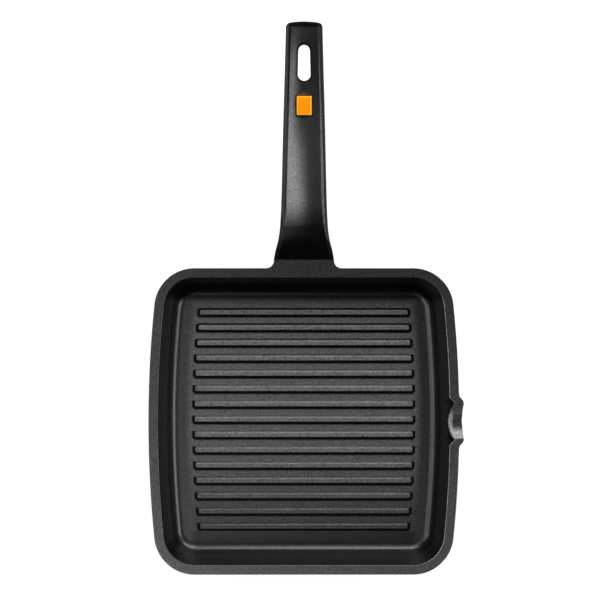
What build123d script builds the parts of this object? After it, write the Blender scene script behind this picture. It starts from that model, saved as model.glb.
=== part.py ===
from build123d import *
import math
import os

# Square grill pan: a die-cast aluminium body with ribs, a spout and a lug,
# a steel plate in its base, and a moulded handle held by one screw.
# Millimetres and degrees. Origin at the centre of the base's underside,
# +Y towards the handle, +X towards the spout, +Z up.

# Pan body seen from above
rim_length = 280.0
rim_width = 276.0
corner_radius = 36.5
side_bow_radius = 1050.0

# Pan body in section
rim_height = 45.0
rim_land = 8.4
flange_height = 6.0
rim_edge_break = 0.7
flange_under_break = 1.6
wall_thickness = 4.2
wall_draft = 14.0
floor_thickness = 5.5
floor_fillet = 9.0
base_fillet = 7.0

# Ribs on the floor
rib_count = 15
rib_pitch = 14.0
rib_height = 3.5
rib_base_width = 5.4
rib_draft = 8.0
rib_end_inset = 39.7
rib_corner_cut = 1.4
rib_edge_break = 0.7

# Pouring spout in the middle of the right side
spout_reach = 4.1
spout_tip_half_width = 18.4
spout_flare_angle = 45.0
spout_root_depth = 9.0
spout_lip_height = 6.5
spout_lip_draw_in = 1.2
spout_belly_height = 19.0
spout_belly_half_width = 9.0
spout_channel_radius = 22.0
spout_channel_depth = 6.3
spout_inner_fillet = 5.0
spout_corner_radius = 2.0

# Lug that carries the handle
lug_half_width = 27.1
lug_reach = 8.2
lug_height = 26.0
lug_neck_radius = 6.8
lug_bury = 12.0

# Tongue inside the handle
tongue_tilt = 32.0
tongue_length = 25.0
tongue_width = 26.0
tongue_thickness = 7.0
tongue_corner_radius = 4.0
tongue_start_drop = 10.5
tongue_bury = 6.0
tongue_clearance = 0.3

# Handle
handle_length = 208.3
handle_rise = 51.0
handle_facet_width = 3.0
handle_facet_drop = 2.4
handle_step_width = 1.3
handle_step_rise = 0.5
handle_crown = 1.5
handle_belly = 5.0
handle_belly_flat_share = 0.55
handle_tip_crown_radius = 95.0
handle_tip_corner_radius = 4.4
handle_tip_bevel = 1.2

# Handle sections from the joint to just past the tip: place along the length,
# half-width and thickness of the root, rise, and how far the top's facets are formed
handle_section_shares = [
    (0.0, 1.0, 0.0, 1.0, 0.06),
    (0.039, 0.939, 0.104, 0.98, 0.32),
    (0.082, 0.853, 0.205, 0.92, 0.56),
    (0.126, 0.803, 0.28, 0.855, 0.8),
    (0.17, 0.778, 0.342, 0.808, 0.92),
    (0.252, 0.751, 0.444, 0.754, 1.0),
    (0.378, 0.725, 0.586, 0.708, 1.0),
    (0.503, 0.701, 0.716, 0.677, 1.0),
    (0.629, 0.675, 0.824, 0.65, 1.0),
    (0.755, 0.646, 0.906, 0.623, 1.0),
    (0.881, 0.619, 0.967, 0.592, 1.0),
    (1.0, 0.595, 1.0, 0.554, 1.0),
    (1.04, 0.588, 1.008, 0.542, 1.0),
]

# Hanging slot and inlay tile
slot_length = 32.6
slot_tip_width = 10.2
slot_inner_width = 11.4
slot_tip_margin = 19.4
slot_edge_break = 0.7
tile_length = 16.9
tile_width = 13.4
tile_thickness = 1.6
tile_proud = 0.15
tile_edge_break = 0.25
tile_clearance = 0.08
tile_tip_distance = 73.6

# Fixing screw and spring washer
screw_radius = 2.5
screw_head_radius = 4.75
screw_head_height = 3.2
screw_head_edge_break = 1.0
screw_position = 15.0
screw_seat_thickness = 4.0
screw_end_gap = 0.6
screw_thread_clearance = 0.05
screw_hole_radius = 2.8
screw_recess_width = 1.1
screw_recess_length = 4.8
screw_recess_depth = 1.6
counterbore_radius = 5.5
washer_outer_radius = 4.6
washer_inner_radius = 2.6
washer_thickness = 1.2
washer_gap = 0.7

# Steel plate in the base
plate_inset = 29.0
plate_thickness = 0.8
plate_clearance = 0.05
plate_hole_radius = 4.0
plate_hole_sides = 6
plate_hole_count = 6
plate_hole_pitch_share = 0.154

# Room that cutting tools run past the metal
overrun = 10.0

draft_run = math.tan(math.radians(wall_draft))
low_centre = (Align.CENTER, Align.CENTER, Align.MIN)
high_centre = (Align.CENTER, Align.CENTER, Align.MAX)
joint_y = rim_width / 2 + lug_reach
rim_outer_x = rim_length / 2


def pan_outline(inset, height):
    """Face bounded by the pan's outline, drawn in evenly by inset, lying at height."""
    bow_centre = rim_length / 2 - side_bow_radius
    corner_y = rim_width / 2 - corner_radius
    reach = side_bow_radius - corner_radius
    corner_x = bow_centre + math.sqrt(reach ** 2 - corner_y ** 2)
    bow = side_bow_radius - inset
    corner = corner_radius - inset
    edge_y = rim_width / 2 - inset
    swing = math.degrees(math.asin(corner_y / reach))
    turn = 90 - swing
    edges = [
        CenterArc((bow_centre, 0), bow, -swing, 2 * swing),
        CenterArc((corner_x, corner_y), corner, swing, turn),
        Line((corner_x, edge_y), (-corner_x, edge_y)),
        CenterArc((-corner_x, corner_y), corner, 90, turn),
        CenterArc((-bow_centre, 0), bow, 180 - swing, 2 * swing),
        CenterArc((-corner_x, -corner_y), corner, 180 + swing, turn),
        Line((-corner_x, -edge_y), (corner_x, -edge_y)),
        CenterArc((corner_x, -corner_y), corner, 270, turn),
    ]
    return Pos(0, 0, height) * make_face(edges)


def side_reach(inset, y):
    """Distance from the middle plane to the bowed side, drawn in by inset, at y."""
    bow = side_bow_radius - inset
    return rim_length / 2 - side_bow_radius + math.sqrt(bow ** 2 - y ** 2)


def drafted_wall(inset, bottom, top):
    """Solid whose side walls lean out with the draft and lie at inset at the top."""
    return extrude(pan_outline(inset, top), amount=bottom - top, taper=wall_draft)


def upright(y):
    """Plane across the handle at y, with its own Y axis upwards."""
    return Plane(origin=(0, y, 0), x_dir=(1, 0, 0), z_dir=(0, -1, 0))


def handle_outline(half_width, top, bottom):
    """Face of a handle section: upright sides, sloping belly sides and a flat underside."""
    shoulder = bottom + handle_belly
    flat = half_width * handle_belly_flat_share
    corners = [
        (half_width, shoulder),
        (half_width, top),
        (-half_width, top),
        (-half_width, shoulder),
        (-flat, bottom),
        (flat, bottom),
    ]
    return make_face(Polyline(*corners, close=True))


def lug():
    """Boss under the rim with the same section as the handle's root."""
    section = handle_outline(lug_half_width, rim_height, rim_height - lug_height)
    return extrude(upright(joint_y) * section, amount=lug_reach + lug_bury)


def rim_plan():
    """Face of the flange seen from above, with the necks that run out into the lug."""
    plate = Pos(0, rim_width / 2) * Rectangle(2 * lug_half_width, 2 * lug_reach)
    plan = pan_outline(0, 0) + plate
    necks = [
        corner
        for corner in plan.vertices()
        if abs(abs(corner.X) - lug_half_width) < rim_edge_break
        and abs(corner.Y - rim_width / 2) < rim_edge_break
    ]
    return fillet(necks, lug_neck_radius)


def flange():
    """Thick flat rim with a broken lower edge."""
    block = extrude(rim_plan(), amount=flange_height)
    low_edges = block.faces().sort_by(Axis.Z)[0].edges()
    low_edges = [edge for edge in low_edges if edge.center().Y < joint_y - rim_edge_break]
    block = chamfer(low_edges, flange_under_break)
    return Pos(0, 0, rim_height - flange_height) * block


def shell_blank():
    """Outer walls down to the rounded edge of the base."""
    outer_inset = rim_land - wall_thickness / math.cos(math.radians(wall_draft))
    block = drafted_wall(outer_inset, 0, rim_height)
    base_edges = block.faces().sort_by(Axis.Z)[0].edges()
    return fillet(base_edges, base_fillet)


def cooking_well():
    """Space inside the pan, with the large fillet round the floor."""
    block = drafted_wall(rim_land - overrun * draft_run, floor_thickness, rim_height + overrun)
    floor_edges = block.faces().sort_by(Axis.Z)[0].edges()
    return fillet(floor_edges, floor_fillet)


def spout_level(height, outer_x, tip_half_width):
    """Level section of the spout: a trapezoid that widens back into the wall."""
    inner_x = outer_x - spout_root_depth
    root_half_width = tip_half_width + spout_root_depth * math.tan(math.radians(spout_flare_angle))
    corners = [
        (outer_x, -tip_half_width),
        (outer_x, tip_half_width),
        (inner_x, root_half_width),
        (inner_x, -root_half_width),
    ]
    return Pos(0, 0, height) * make_face(Polyline(*corners, close=True))


def spout_boss():
    """Outside of the spout: a drawn-in lip over a belly that runs into the wall."""
    tip_x = rim_outer_x + spout_reach
    lip_x = tip_x - spout_lip_draw_in
    wall_x = rim_outer_x - rim_land - spout_belly_height * draft_run
    levels = [
        spout_level(rim_height, tip_x, spout_tip_half_width),
        spout_level(rim_height - spout_lip_height, lip_x, spout_tip_half_width - spout_lip_draw_in),
        spout_level(rim_height - spout_belly_height, wall_x + wall_thickness, spout_belly_half_width),
    ]
    return loft(levels, ruled=True)


def spout_channel():
    """Round-bottomed channel that lies across the rim."""
    axis_height = rim_height - spout_channel_depth + spout_channel_radius
    length = 2 * (rim_land + spout_reach + overrun)
    return Pos(rim_outer_x, 0, axis_height) * Rot(0, 90, 0) * Cylinder(spout_channel_radius, length)


def rib(y):
    """One rib across the floor at y, ending short of the bowed walls."""
    length = 2 * side_reach(rib_end_inset, y)
    plan = Rectangle(length, rib_base_width)
    plan = chamfer(plan.vertices(), rib_corner_cut)
    bar = extrude(plan, amount=rib_height, taper=rib_draft)
    bar = chamfer(bar.faces().sort_by(Axis.Z)[-1].edges(), rib_edge_break)
    root = extrude(plan, amount=-rib_height / 2)
    return Pos(0, y, floor_thickness) * (bar + root)


def ribs():
    """All ribs, evenly spaced about the middle of the floor."""
    first_y = -(rib_count - 1) * rib_pitch / 2
    return [rib(first_y + index * rib_pitch) for index in range(rib_count)]


def top_face(body):
    """Highest level face of a solid."""
    return body.faces().filter_by(Axis.Z).sort_by(Axis.Z)[-1]


def round_spout_corners(body):
    """Rounds the two upright corners of the spout's lip."""
    corners = [
        edge
        for edge in body.edges()
        if edge.bounding_box().size.Z > spout_lip_height / 2
        and edge.center().X > rim_outer_x
        and abs(edge.center().Y) > spout_tip_half_width - spout_lip_draw_in
    ]
    return fillet(corners, spout_corner_radius)


def ease_rim_outside(body):
    """Breaks the rim's outer edge, up to the joint with the handle."""
    edges = [edge for edge in top_face(body).edges() if edge.center().Y < joint_y - rim_edge_break]
    return chamfer(edges, rim_edge_break)


def round_channel_mouth(body):
    """Large round where the channel meets the inner wall."""
    mouth = [
        edge
        for edge in body.edges()
        if edge.geom_type == GeomType.BSPLINE
        and 0 < edge.center().X < rim_outer_x - rim_land / 2
        and abs(edge.center().Y) < rim_land
        and edge.center().Z > rim_height - 2 * spout_channel_depth
    ]
    return fillet(mouth, spout_inner_fillet)


def ease_rim_inside(body):
    """Breaks the rim's inner edge and the sides of the channel."""
    land_middle = pan_outline(rim_land / 2, rim_height).faces()[0]
    edges = top_face(body).edges()
    inner = [edge for edge in edges if land_middle.is_inside(edge.center())]
    sides = [edge for edge in edges.filter_by(Axis.X) if abs(edge.center().Y) < spout_tip_half_width]
    return chamfer(inner + sides, rim_edge_break)


def tongue_plane():
    """Plane through the middle of the tongue, its own Y axis running up the handle."""
    tilt = math.radians(tongue_tilt)
    start = (0, joint_y, rim_height - tongue_start_drop)
    return Plane(origin=start, x_dir=(1, 0, 0), z_dir=(0, -math.sin(tilt), math.cos(tilt)))


def tongue_block(clearance):
    """Flat tongue with rounded corners, grown by clearance on every free side."""
    length = tongue_length + tongue_bury + clearance
    width = tongue_width + 2 * clearance
    plan = Pos(0, length / 2 - tongue_bury) * Rectangle(width, length)
    far_corners = plan.vertices().sort_by(Axis.Y)[-2:]
    plan = fillet(far_corners, tongue_corner_radius)
    return tongue_plane() * extrude(plan, amount=tongue_thickness / 2 + clearance, both=True)


def screw_place():
    """Axis of the fixing screw, across the tongue."""
    return tongue_plane() * Pos(0, screw_position, 0)


def tongue():
    """Cast tongue with the tapped hole for the fixing screw."""
    hole = screw_place() * Cylinder(screw_radius + screw_thread_clearance, 2 * tongue_thickness)
    return tongue_block(0) - hole


def plate_grid():
    """Centres of the holes in the base plate, spread over its length and width."""
    pitch_x = (rim_length - 2 * plate_inset) * plate_hole_pitch_share
    pitch_y = (rim_width - 2 * plate_inset) * plate_hole_pitch_share
    return GridLocations(pitch_x, pitch_y, plate_hole_count, plate_hole_count)


def base_recess():
    """Shallow pocket in the underside for the steel plate."""
    depth = plate_thickness + overrun
    return extrude(pan_outline(plate_inset - plate_clearance, -overrun), amount=depth)


def base_studs():
    """Aluminium that rises through the plate's holes and holds it."""
    radius = plate_hole_radius - plate_clearance
    discs = [place * RegularPolygon(radius, plate_hole_sides) for place in plate_grid()]
    return [extrude(disc, amount=floor_thickness / 2) for disc in discs]


def pan_body():
    """The whole casting."""
    blank = shell_blank() + flange() + lug() + spout_boss()
    body = ease_rim_outside(round_spout_corners(blank))
    body = body - cooking_well() - spout_channel()
    body = ease_rim_inside(round_channel_mouth(body))
    body = body + ribs() + tongue()
    return body - base_recess() + base_studs()


def induction_plate():
    """Perforated steel plate, flush with the underside of the base."""
    sheet = extrude(pan_outline(plate_inset, 0), amount=plate_thickness)
    holes = [place * RegularPolygon(plate_hole_radius, plate_hole_sides) for place in plate_grid()]
    return sheet - [extrude(hole, amount=plate_thickness) for hole in holes]


def handle_section(shares):
    """Handle section as upright face: its outside without the top's crown and facets."""
    along, width, rise, thickness, _ = shares
    top = rim_height + handle_rise * rise
    bottom = top - lug_height * thickness
    y = joint_y + handle_length * along
    return upright(y) * handle_outline(lug_half_width * width, top + handle_crown, bottom)


def handle_top_section(shares):
    """Section of everything under the handle's top: crown, step and facets."""
    along, width, rise, _, edge = shares
    top = rim_height + handle_rise * rise
    half_width = lug_half_width * width
    facet_x = half_width - handle_facet_width * edge
    panel_x = facet_x - handle_step_width * edge
    panel_z = top - handle_crown * edge
    facet_z = panel_z + handle_step_rise * edge
    slope = handle_facet_drop / handle_facet_width
    far_x = lug_half_width + overrun
    far_z = facet_z - slope * (far_x - facet_x)
    low_z = top - lug_height - overrun
    right = [(panel_x, panel_z), (facet_x, facet_z), (far_x, far_z), (far_x, low_z)]
    left = [(-x, z) for x, z in reversed(right)]
    outline = [
        ThreePointArc(left[-1], (0, top), right[0]),
        Polyline(*right, *left),
    ]
    return upright(joint_y + handle_length * along) * make_face(outline)


def handle_tip_cut():
    """Everything beyond the crowned tip of the handle."""
    tip_y = joint_y + handle_length
    height = rim_height + handle_rise
    block = Pos(0, tip_y, height) * Box(4 * lug_half_width, 2 * overrun, 2 * height)
    keep = Pos(0, tip_y - handle_tip_crown_radius, height) * Cylinder(handle_tip_crown_radius, 4 * height)
    return block - keep


def handle_blank():
    """Handle with a flat top and rounded tip corners."""
    bar = loft([handle_section(shares) for shares in handle_section_shares])
    bar = bar - handle_tip_cut()
    tip_corners = [
        edge
        for edge in bar.edges()
        if edge.center().Y > joint_y + handle_length - overrun
        and edge.bounding_box().size.X < edge.bounding_box().size.Z
        and edge.bounding_box().size.Z > handle_belly
    ]
    return fillet(tip_corners, handle_tip_corner_radius)


def handle_top():
    """Everything under the handle's crowned and bevelled top."""
    return loft([handle_top_section(shares) for shares in handle_section_shares])


def bevel_tip(solid):
    """Thin bevel along the top edge of the tip, between the facets."""
    tip_y = joint_y + handle_length
    edges = [
        edge
        for edge in solid.edges()
        if edge.center().Y > tip_y - handle_tip_corner_radius
        and edge.center().Z > rim_height + handle_rise - handle_facet_drop - handle_crown
        and edge.bounding_box().size.X > 2 * handle_tip_corner_radius
    ]
    return chamfer(edges, handle_tip_bevel)


def slot_circles():
    """Centres and radii of the hanging slot's two ends."""
    tip_radius = slot_tip_width / 2
    inner_radius = slot_inner_width / 2
    tip_end = joint_y + handle_length - slot_tip_margin
    inner_end = tip_end - slot_length
    return (tip_end - tip_radius, tip_radius), (inner_end + inner_radius, inner_radius)


def hanging_slot():
    """Tapered slot with round ends, wider on the pan's side."""
    (tip_centre, tip_radius), (inner_centre, inner_radius) = slot_circles()
    tip_circle = CenterArc((0, tip_centre), tip_radius, 270, 360)
    inner_circle = CenterArc((0, inner_centre), inner_radius, 90, 360)
    plan = make_hull([tip_circle, inner_circle])
    return extrude(plan, amount=rim_height + handle_rise + overrun)


def ease_slot_rims(solid):
    """Eases the slot's upper and lower rims."""
    (tip_centre, tip_radius), (inner_centre, inner_radius) = slot_circles()
    rims = [
        edge
        for edge in solid.edges()
        if abs(edge.center().X) < inner_radius + slot_edge_break
        and inner_centre - inner_radius - slot_edge_break < edge.center().Y
        and edge.center().Y < tip_centre + tip_radius + slot_edge_break
        and edge.bounding_box().size.Z < lug_height / 4
    ]
    return chamfer(rims, slot_edge_break)


def tile_place():
    """Middle of the tile, on the handle's top line and along its slope."""
    centre = handle_length - tile_tip_distance
    places = [shares for shares in handle_section_shares if shares[0] * handle_length <= centre]
    low = places[-1]
    high = handle_section_shares[len(places)]
    run = (high[0] - low[0]) * handle_length
    climb = (high[2] - low[2]) * handle_rise
    rise = low[2] * handle_rise + (centre - low[0] * handle_length) * climb / run
    slope = math.degrees(math.atan2(climb, run))
    return Pos(0, joint_y + centre, rim_height + rise) * Rot(slope, 0, 0)


def tile_prism(clearance):
    """Upright block over the tile's outline, from the pocket's floor to above the handle."""
    plan = Rectangle(tile_width + 2 * clearance, tile_length + 2 * clearance)
    block = extrude(plan, amount=tile_thickness + overrun)
    return tile_place() * Pos(0, 0, -tile_thickness) * block


def handle():
    """Moulded handle: socket, screw hole, hanging slot and the tile's pocket."""
    solid = bevel_tip(handle_blank() & handle_top())
    solid = ease_slot_rims(solid - hanging_slot())
    seat = tongue_thickness / 2 + tongue_clearance + screw_seat_thickness
    hole = Pos(0, 0, -seat) * Cylinder(screw_hole_radius, seat, align=low_centre)
    counterbore = Pos(0, 0, -seat) * Cylinder(counterbore_radius, seat + overrun, align=high_centre)
    solid = solid - tongue_block(tongue_clearance) - screw_place() * hole - screw_place() * counterbore
    return solid - tile_prism(tile_clearance)


def handle_inlay():
    """Plain tile whose face follows the handle's crown and stands a little proud."""
    tile = tile_prism(0) & (Pos(0, 0, tile_proud) * handle_top())
    face = tile.faces().sort_by(lambda side: side.normal_at(side.center()).Z)[-1]
    return chamfer(face.edges(), tile_edge_break)


def fixing_screw():
    """Pan head screw: shank through the handle's wall into the tongue, cross recess in the head."""
    seat = tongue_thickness / 2 + tongue_clearance + screw_seat_thickness
    head_top = -seat - washer_thickness
    shank_length = tongue_thickness / 2 - screw_end_gap - head_top
    shank = Pos(0, 0, head_top) * Cylinder(screw_radius, shank_length, align=low_centre)
    head = Pos(0, 0, head_top) * Cylinder(screw_head_radius, screw_head_height, align=high_centre)
    head = chamfer(head.edges().filter_by(GeomType.CIRCLE).sort_by(Axis.Z)[0], screw_head_edge_break)
    bar = Box(screw_recess_length, screw_recess_width, 2 * screw_recess_depth)
    recess = Pos(0, 0, head_top - screw_head_height) * (bar + Rot(0, 0, 90) * bar)
    return screw_place() * (head + shank - recess)


def lock_washer():
    """Split spring washer, pressed flat between the screw's head and the handle."""
    seat = tongue_thickness / 2 + tongue_clearance + screw_seat_thickness
    disc = Cylinder(washer_outer_radius, washer_thickness, align=high_centre)
    bore = Cylinder(washer_inner_radius, 3 * washer_thickness)
    split = Pos(washer_outer_radius, 0, 0) * Box(2 * washer_outer_radius, washer_gap, 3 * washer_thickness)
    return screw_place() * Pos(0, 0, -seat) * (disc - bore - split)


os.makedirs("parts", exist_ok=True)
pieces = {
    "pan_body": pan_body(),
    "induction_plate": induction_plate(),
    "handle": handle(),
    "handle_inlay": handle_inlay(),
    "fixing_screw": fixing_screw(),
    "lock_washer": lock_washer(),
}
for name, solid in pieces.items():
    print(name, solid.is_valid, round(solid.volume), len(solid.solids()))
    export_step(solid, f"parts/{name}.step")
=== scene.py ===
# %% [markdown]
# # A square grill pan
#
# This notebook dresses the CAD model of a cast grill pan for a picture taken from straight above.
# The CAD model gives every place and size. Here the casting, its base plate, the handle and the
# coloured tile get finer surfaces in the same places, with soft edges and real finishes, and the
# screw with its washer keeps its CAD shape and gets a zinc finish.
#
# Lengths are in millimetres, as on a drawing, until a mesh is made. Blender works in metres.

# %% Frame and tools
import math

import bmesh
import bpy
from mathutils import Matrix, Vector
from mathutils.geometry import delaunay_2d_cdt


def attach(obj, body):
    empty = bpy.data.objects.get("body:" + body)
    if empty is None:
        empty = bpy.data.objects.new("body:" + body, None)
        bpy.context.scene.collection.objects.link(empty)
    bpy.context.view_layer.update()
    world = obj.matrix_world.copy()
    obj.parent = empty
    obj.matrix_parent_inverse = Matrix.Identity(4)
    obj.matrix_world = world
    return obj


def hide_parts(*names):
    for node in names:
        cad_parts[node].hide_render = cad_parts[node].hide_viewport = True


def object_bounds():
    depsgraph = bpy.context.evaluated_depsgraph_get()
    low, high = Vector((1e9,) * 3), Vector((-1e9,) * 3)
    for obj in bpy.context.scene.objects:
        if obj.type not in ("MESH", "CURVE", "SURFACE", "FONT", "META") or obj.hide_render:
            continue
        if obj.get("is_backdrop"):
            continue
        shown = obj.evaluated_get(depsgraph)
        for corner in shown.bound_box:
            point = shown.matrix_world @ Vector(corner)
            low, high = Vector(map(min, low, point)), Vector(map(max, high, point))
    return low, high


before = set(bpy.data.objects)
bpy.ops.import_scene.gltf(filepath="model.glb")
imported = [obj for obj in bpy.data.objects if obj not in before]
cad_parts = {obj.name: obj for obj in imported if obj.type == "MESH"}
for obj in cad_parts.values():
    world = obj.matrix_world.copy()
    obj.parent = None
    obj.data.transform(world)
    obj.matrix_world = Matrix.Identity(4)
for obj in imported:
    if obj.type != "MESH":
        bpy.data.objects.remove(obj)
cad_low, cad_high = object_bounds()
mm = 0.001
print("CAD nodes:", sorted(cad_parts))

# %% [markdown]
# ## The camera
#
# The picture is taken from straight above and from a good distance, so that the walls hardly lean.
# The camera's own up direction is the pan's +Y, the direction of the handle. One pixel of the
# square picture is 0.9 mm at the height of the rim, which gives the lens from the distance.
# A tilt of under one degree shows a little more of the wall on the spout's side.

# %% Camera
image_pixels = 600
rim_scale = 0.9
rim_height = 45.0
camera_distance = 2200.0
camera_aim = (-3.55, 109.3, rim_height)
camera_tilt = math.radians(0.2)

camera_data = bpy.data.cameras.new("overhead_camera")
camera_data.sensor_width = 36.0
camera_data.lens = camera_data.sensor_width * camera_distance / rim_scale / image_pixels
camera_data.clip_end = 20.0
camera = bpy.data.objects.new("overhead_camera", camera_data)
bpy.context.scene.collection.objects.link(camera)
camera.location = (
    (camera_aim[0] - camera_distance * math.sin(camera_tilt)) * mm,
    camera_aim[1] * mm,
    (camera_aim[2] + camera_distance * math.cos(camera_tilt)) * mm,
)
camera.rotation_euler = (0, -camera_tilt, 0)
bpy.context.scene.camera = camera
print("lens", round(camera_data.lens, 1), "mm at", camera_distance, "mm above the rim")

# %% [markdown]
# ## A way to make skins
#
# Cast and moulded parts are mostly long bands: a rim, a wall, a fillet. A band is a strip of faces
# between two loops of points. Flat or gently domed areas with holes in them, such as the floor
# between the ribs, are filled with triangles that use the loops' own points, so the surface stays
# closed and nothing has to be cut. `Skin` keeps the points and the faces until the mesh is made.

# %% Skin
weld_distance, fill_tolerance = 1e-7, 1e-6


def inside_ring(x, y, ring):
    """True if the point lies in the ring of (x, y) points."""
    inside = False
    for (ax, ay), (bx, by) in zip(ring, ring[1:] + ring[:1]):
        if (ay > y) != (by > y) and x < ax + (y - ay) * (bx - ax) / (by - ay):
            inside = not inside
    return inside


class Skin:
    """Points in millimetres and the faces between them."""

    def __init__(self):
        self.points = []
        self.faces = []

    def loop(self, points):
        """Adds points and gives their numbers."""
        start = len(self.points)
        self.points.extend(tuple(point) for point in points)
        return list(range(start, len(self.points)))

    def strip(self, first, second, closed=True):
        """Four-sided faces between two loops of the same length."""
        count = len(first)
        for i in range(count if closed else count - 1):
            j = (i + 1) % count
            self.faces.append((first[i], first[j], second[j], second[i]))

    def strips(self, loops, closed=True):
        """Strips between each loop and the next."""
        for first, second in zip(loops, loops[1:]):
            self.strip(first, second, closed)

    def fill(self, outer, holes=(), inner_points=(), axes=(0, 1)):
        """Triangles inside a loop and outside its holes, laid out along two axes."""
        rings = [list(outer)] + [list(hole) for hole in holes]
        used = sum(rings, []) + self.loop(inner_points)
        flat = [(self.points[i][axes[0]], self.points[i][axes[1]]) for i in used]
        edges = []
        for ring in rings:
            start = len(edges)
            edges += [(start + i, start + (i + 1) % len(ring)) for i in range(len(ring))]
        result = delaunay_2d_cdt([Vector(point) for point in flat], edges, [], 0, fill_tolerance)
        vertices, faces, origins = result[0], result[2], result[3]
        outlines = []
        start = 0
        for ring in rings:
            outlines.append(flat[start:start + len(ring)])
            start += len(ring)
        for face in faces:
            x = sum(vertices[i].x for i in face) / len(face)
            y = sum(vertices[i].y for i in face) / len(face)
            in_hole = any(inside_ring(x, y, hole) for hole in outlines[1:])
            if inside_ring(x, y, outlines[0]) and not in_hole:
                self.faces.append(tuple(used[origins[i][0]] for i in face))

    def build(self, name, sharp_degrees=35):
        """The finished object, with soft shading on its curves and crisp real edges."""
        mesh = bpy.data.meshes.new(name)
        mesh.from_pydata([[value * mm for value in point] for point in self.points], [], self.faces)
        work = bmesh.new()
        work.from_mesh(mesh)
        bmesh.ops.remove_doubles(work, verts=work.verts, dist=weld_distance)
        bmesh.ops.dissolve_degenerate(work, edges=work.edges, dist=weld_distance)
        loose = [vertex for vertex in work.verts if not vertex.link_faces]
        bmesh.ops.delete(work, geom=loose, context="VERTS")
        bmesh.ops.recalc_face_normals(work, faces=work.faces)
        open_edges = sum(1 for edge in work.edges if len(edge.link_faces) != 2)
        work.to_mesh(mesh)
        work.free()
        mesh.shade_smooth()
        mesh.set_sharp_from_angle(angle=math.radians(sharp_degrees))
        piece = bpy.data.objects.new(name, mesh)
        bpy.context.scene.collection.objects.link(piece)
        weights = piece.modifiers.new("flat faces lead", "WEIGHTED_NORMAL")
        weights.mode = "FACE_AREA_WITH_ANGLE"
        weights.keep_sharp = True
        print(name, "has", len(mesh.polygons), "faces and", open_edges, "open edges")
        return piece


print("a Skin keeps points in mm and builds a mesh in m")


# %% Small helpers
def blend(low, high, share):
    """A value part of the way from low to high."""
    return low + (high - low) * share


def even_shares(count):
    """Even shares from 0 to 1, with both ends."""
    return [step / count for step in range(count + 1)]


def smooth(share):
    """A share eased at both ends and kept from 0 to 1."""
    share = min(1.0, max(0.0, share))
    return share * share * (3 - 2 * share)


def soft_larger(a, b, softness):
    """The larger of two lengths, with a round between them."""
    return (a + b + math.sqrt((a - b) ** 2 + softness ** 2)) / 2


print("shares in four steps:", even_shares(4), "and eased:", [smooth(share) for share in even_shares(4)])

# %% [markdown]
# ## The casting in plan
#
# Seen from above, the rim is a square whose left and right sides bow out on a large radius, with
# round corners. Every line on the casting runs parallel to that outline, so one list of stations
# round the outline serves the base, the walls, the rim and the floor. A station gives its point at
# any inset from the rim. Two places need closer stations: the spout on the right, and the lug
# that carries the handle.

# %% Outline of the rim
rim_length, rim_width = 280.0, 276.0
corner_radius, bow_radius = 36.5, 1050.0
lug_half_width, lug_reach, neck_radius = 27.1, 8.2, 6.8
lug_flat_half_width, joint_round = 24.6, 0.35
lug_corner = [(lug_half_width, 26.4, joint_round), (lug_half_width - joint_round, 26.0, 0.0)]
joint_y = rim_width / 2 + lug_reach
bow_centre = rim_length / 2 - bow_radius
corner_y = rim_width / 2 - corner_radius
corner_x = bow_centre + math.sqrt((bow_radius - corner_radius) ** 2 - corner_y ** 2)
bow_swing = math.asin(corner_y / (bow_radius - corner_radius))
neck_x, neck_y = lug_half_width + neck_radius, rim_width / 2 + neck_radius
spout_half_span = 31.5
rim_corner_steps, neck_steps, lug_steps, spout_steps = 20, 8, 16, 84
edge_xs = (39, 48, 60, 72, 84)


def plan_point(station, inset):
    """(x, y) of a station at an inset from the rim's outline."""
    kind, side, value = station
    if kind == "bow":
        reach = bow_radius - inset
        return side * (bow_centre + reach * math.cos(value)), reach * math.sin(value)
    if kind == "spout":
        return bow_centre + math.sqrt((bow_radius - inset) ** 2 - value ** 2), value
    if kind == "corner":
        side_x, side_y = side
        reach = corner_radius - inset
        return (
            side_x * (corner_x + reach * math.cos(value)),
            side_y * (corner_y + reach * math.sin(value)),
        )
    return value, side * (rim_width / 2 - inset)


def quarter_stations(side_x, side_y):
    """Stations of one corner, from the side to the top or bottom edge."""
    turns = [blend(bow_swing, math.pi / 2, share) for share in even_shares(rim_corner_steps)]
    return [("corner", (side_x, side_y), turn) for turn in turns]


def bow_stations(side, low, high, count):
    """Stations along a bowed side between two angles, the ends left out."""
    return [("bow", side, blend(low, high, share)) for share in even_shares(count)[1:-1]]


spout_swing = math.asin(spout_half_span / bow_radius)
spout_ys = [blend(-spout_half_span, spout_half_span, share) for share in even_shares(spout_steps)]
neck_turns = [math.pi / 2 * share for share in even_shares(neck_steps)]
lug_xs = [blend(lug_flat_half_width, -lug_flat_half_width, share) for share in even_shares(lug_steps)]
right_neck = [("neck", 1, turn) for turn in neck_turns] + [("lug side", 1, 0), ("lug side", 1, 1)]
left_neck = [(kind, -side, value) for kind, side, value in reversed(right_neck)]
stations = (
    [("spout", 1, y) for y in spout_ys]
    + bow_stations(1, spout_swing, bow_swing, 10)
    + quarter_stations(1, 1)
    + [("edge", 1, x) for x in edge_xs[::-1]]
    + right_neck
    + [("lug", 1, x) for x in lug_xs]
    + left_neck
    + [("edge", 1, -x) for x in edge_xs]
    + quarter_stations(-1, 1)[::-1]
    + bow_stations(-1, bow_swing, -bow_swing, 26)
    + quarter_stations(-1, -1)
    + [("edge", -1, x) for x in range(-84, 85, 12)]
    + quarter_stations(1, -1)[::-1]
    + bow_stations(1, -bow_swing, -spout_swing, 10)
)
print(len(stations), "stations round the rim")

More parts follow.
